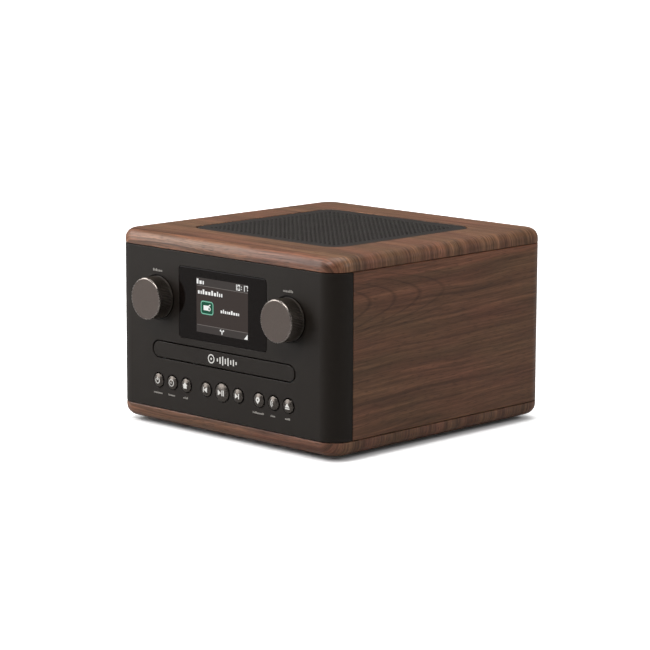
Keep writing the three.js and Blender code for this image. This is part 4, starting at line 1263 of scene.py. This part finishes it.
def drive_belt():
    """The round belt from the motor's pulley to the gear's."""
    gear, motor = middle("tray_gear"), middle("motor_pulley")
    level_z = 50.0
    section, seat = 0.5, 0.75
    wheels = ((Vector((gear.x, gear.y)), 6.4 + seat), (Vector((motor.x, motor.y)), 2.8 + seat))
    (big, big_radius), (small, small_radius) = wheels
    along = small - big
    heading = math.atan2(along.y, along.x)
    lean = math.acos((big_radius - small_radius) / along.length)
    path = arc(big, big_radius, heading + lean, heading + TURN - lean, 40)
    path += arc(small, small_radius, heading - lean, heading + lean, 24)
    rings = []
    for i, (x, y) in enumerate(path):
        ahead = Vector(path[(i + 1) % len(path)]) - Vector(path[i - 1])
        side = Vector((ahead.y, -ahead.x)).normalized()
        ring = []
        for k in range(8):
            angle = TURN * k / 8
            out, rise = section * math.cos(angle), section * math.sin(angle)
            ring.append((x + side.x * out, y + side.y * out, level_z + rise))
        rings.append(ring)
    Mesh().loft(rings, loop=True).make("drive_belt", BELT_RUBBER)


# ---- CAD nodes that keep their own shape
KEPT = {
    FIBREBOARD: ["speaker_baffle"],
    GREY_PLASTIC: ["display_module", "loader_frame", "pickup_deck"],
    BOARD_GREEN: ["display_board", "key_board", "main_board"],
    WHITE_PLASTIC: ["tray_gear", "disc_clamp", "select_wheel"],
    BRASS: ["motor_pulley", "aerial_socket"],
    STEEL: [
        "loader_motor", "spindle_motor", "clamp_bridge", "volume_encoder", "select_encoder", "volume_shaft",
        "select_shaft",
    ],
    DARK_STEEL: ["speaker_left_basket", "speaker_right_basket"],
    CONE_PAPER: ["speaker_left_cone", "speaker_right_cone"],
    TRAY_BLACK: ["turntable", "laser_pickup"],
    CHROME: ["sled_rail_left", "sled_rail_right"],
}


def finish_kept():
    for finish, nodes in KEPT.items():
        for node in nodes:
            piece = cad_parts[node]
            piece.data.materials.clear()
            piece.data.materials.append(finish)


# ---- stage
def stage():
    """A white floor and wall for the camera alone, a grey floor that lights from below, and the lights."""
    m = matt("floor_white", 0.86, 0.01)
    straight_edge = (BENEATH, BENEATH, 0)
    beyond = m.vector("MAXIMUM", m.vector("SUBTRACT", m.vector("ABSOLUTE", m.place), straight_edge))
    distance = m.node("ShaderNodeVectorMath", {0: beyond}, operation="LENGTH").outputs["Value"]
    # The white floor's glow is nil under the cabinet and full about 9 mm beyond its outline: painted light
    # that washes out the cabinet's shadow beyond a tight contact shadow. Far out it glows more still.
    near = m.between(distance, 0.004, 0.026, 0.0, 0.75)
    far = m.between(distance, 0.5, 2.0, 0.0, 0.5)
    only_seen(floor("floor"), m, m.math("ADD", near, far))
    only_seen(backdrop(8, 8), matt("backdrop_white", 0.86, 0.01), 1.0)

    grey = floor("floor_bounce")
    grey.location.z = -0.0001
    grey.visible_camera = False
    grey.data.materials.append(matt("floor_grey", 0.4, 0.02).material)

    world = bpy.data.worlds.new("studio")
    bpy.context.scene.world = world
    world.use_nodes = True
    background = world.node_tree.nodes["Background"]
    background.inputs["Color"].default_value = (1, 1, 1, 1)
    background.inputs["Strength"].default_value = 0.12
    softbox("top_light", (0.0, 0.3, 2.2), (2.0, 2.0), 34)
    softbox("upper_left_light", (-1.5, -0.75, 1.25), (1.2, 0.8), 19)
    softbox("front_left_light", (-1.5, -1.6, 0.55), (1.2, 0.9), 19)
    softbox("front_top_light", (0.15, -1.4, 1.6), (0.7, 0.4), 16)
    softbox("right_light", (1.9, 0.8, 0.9), (1.0, 1.0), 10)


def matt(name, light, swing):
    """A matt white or grey with faint clouds."""
    m = Material(name, (light,) * 3, 0.9, specular=0.1)
    m.set("Base Color", m.mix(m.noise(m.place, 3.0), (light - swing,) * 3, (light + swing,) * 3))
    return m


def floor(name):
    bpy.ops.mesh.primitive_plane_add(size=60)
    made = bpy.context.object
    made.name = name
    return made


def backdrop(radius, height):
    """A round wall, in metres, that closes the view over the floor's far edge."""
    rings = [[(x, y, z) for x, y in circle(radius, (0, 0), 96)] for z in (-0.1, height)]
    data = bpy.data.meshes.new("backdrop")
    count = len(rings[0])
    walls = [(i, (i + 1) % count, count + (i + 1) % count, count + i) for i in range(count)]
    data.from_pydata(rings[0] + rings[1], [], walls)
    made = placed("backdrop", data)
    return made


def only_seen(piece, m, glow):
    """Gives a piece a white glow for the camera alone: it neither lights nor shades anything."""
    m.set("Emission Color", (1, 1, 1, 1))
    m.set("Emission Strength", glow)
    piece.data.materials.append(m.material)
    piece.visible_diffuse = False
    piece.visible_glossy = False
    piece.visible_shadow = False


def softbox(name, place, size, power):
    """An area light that faces the middle of the object."""
    data = bpy.data.lights.new(name, "AREA")
    data.shape = "RECTANGLE"
    data.size, data.size_y = size
    data.energy = power
    light = placed(name, data)
    light.location = place
    towards = Vector((0, 0, 0.08)) - Vector(place)
    light.rotation_euler = towards.to_track_quat("-Z", "Y").to_euler()


def camera():
    """Off the front right corner, a little above the top, with a long lens."""
    azimuth, elevation, roll = [math.radians(a) for a in (44.0415, 10.0438, 0.2048)]
    flat = Vector((-math.sin(azimuth), math.cos(azimuth), 0))
    forward = flat * math.cos(elevation) - Vector((0, 0, math.sin(elevation)))
    right = forward.cross(Vector((0, 0, 1))).normalized()
    up = right.cross(forward)
    leaning = right * math.cos(roll) + up * math.sin(roll)
    rising = up * math.cos(roll) - right * math.sin(roll)
    data = bpy.data.cameras.new("camera")
    data.lens = 150.73
    data.sensor_width = 36
    data.clip_end = 100
    eye = placed("camera", data)
    turned = Matrix((leaning, rising, -forward)).transposed().to_4x4()
    eye.matrix_world = Matrix.Translation(Vector((1.5062, -1.5653, 0.4615))) @ turned
    bpy.context.scene.camera = eye


camera()
stage()
top_panel()
bottom_panel()
side_panel("left", -1)
side_panel("right", 1)
front_panel()
drawer_front()
drawer_mark()
display()
for knob_name in KNOBS:
    knob(knob_name)
for key_name, key_icon in zip(KEYS, ICONS):
    key(key_name, key_icon)
labels()
grille()
for corner in ("front_left", "front_right", "back_left", "back_right"):
    foot("foot_" + corner)
rear_panel()
rear_sockets()
rear_symbols()
for screw_side in ("left", "right"):
    rear_screw(screw_side)
knuckle()
mast()
disc_tray()
drive_belt()
finish_kept()
bpy.context.scene.view_settings.view_transform = "Standard"
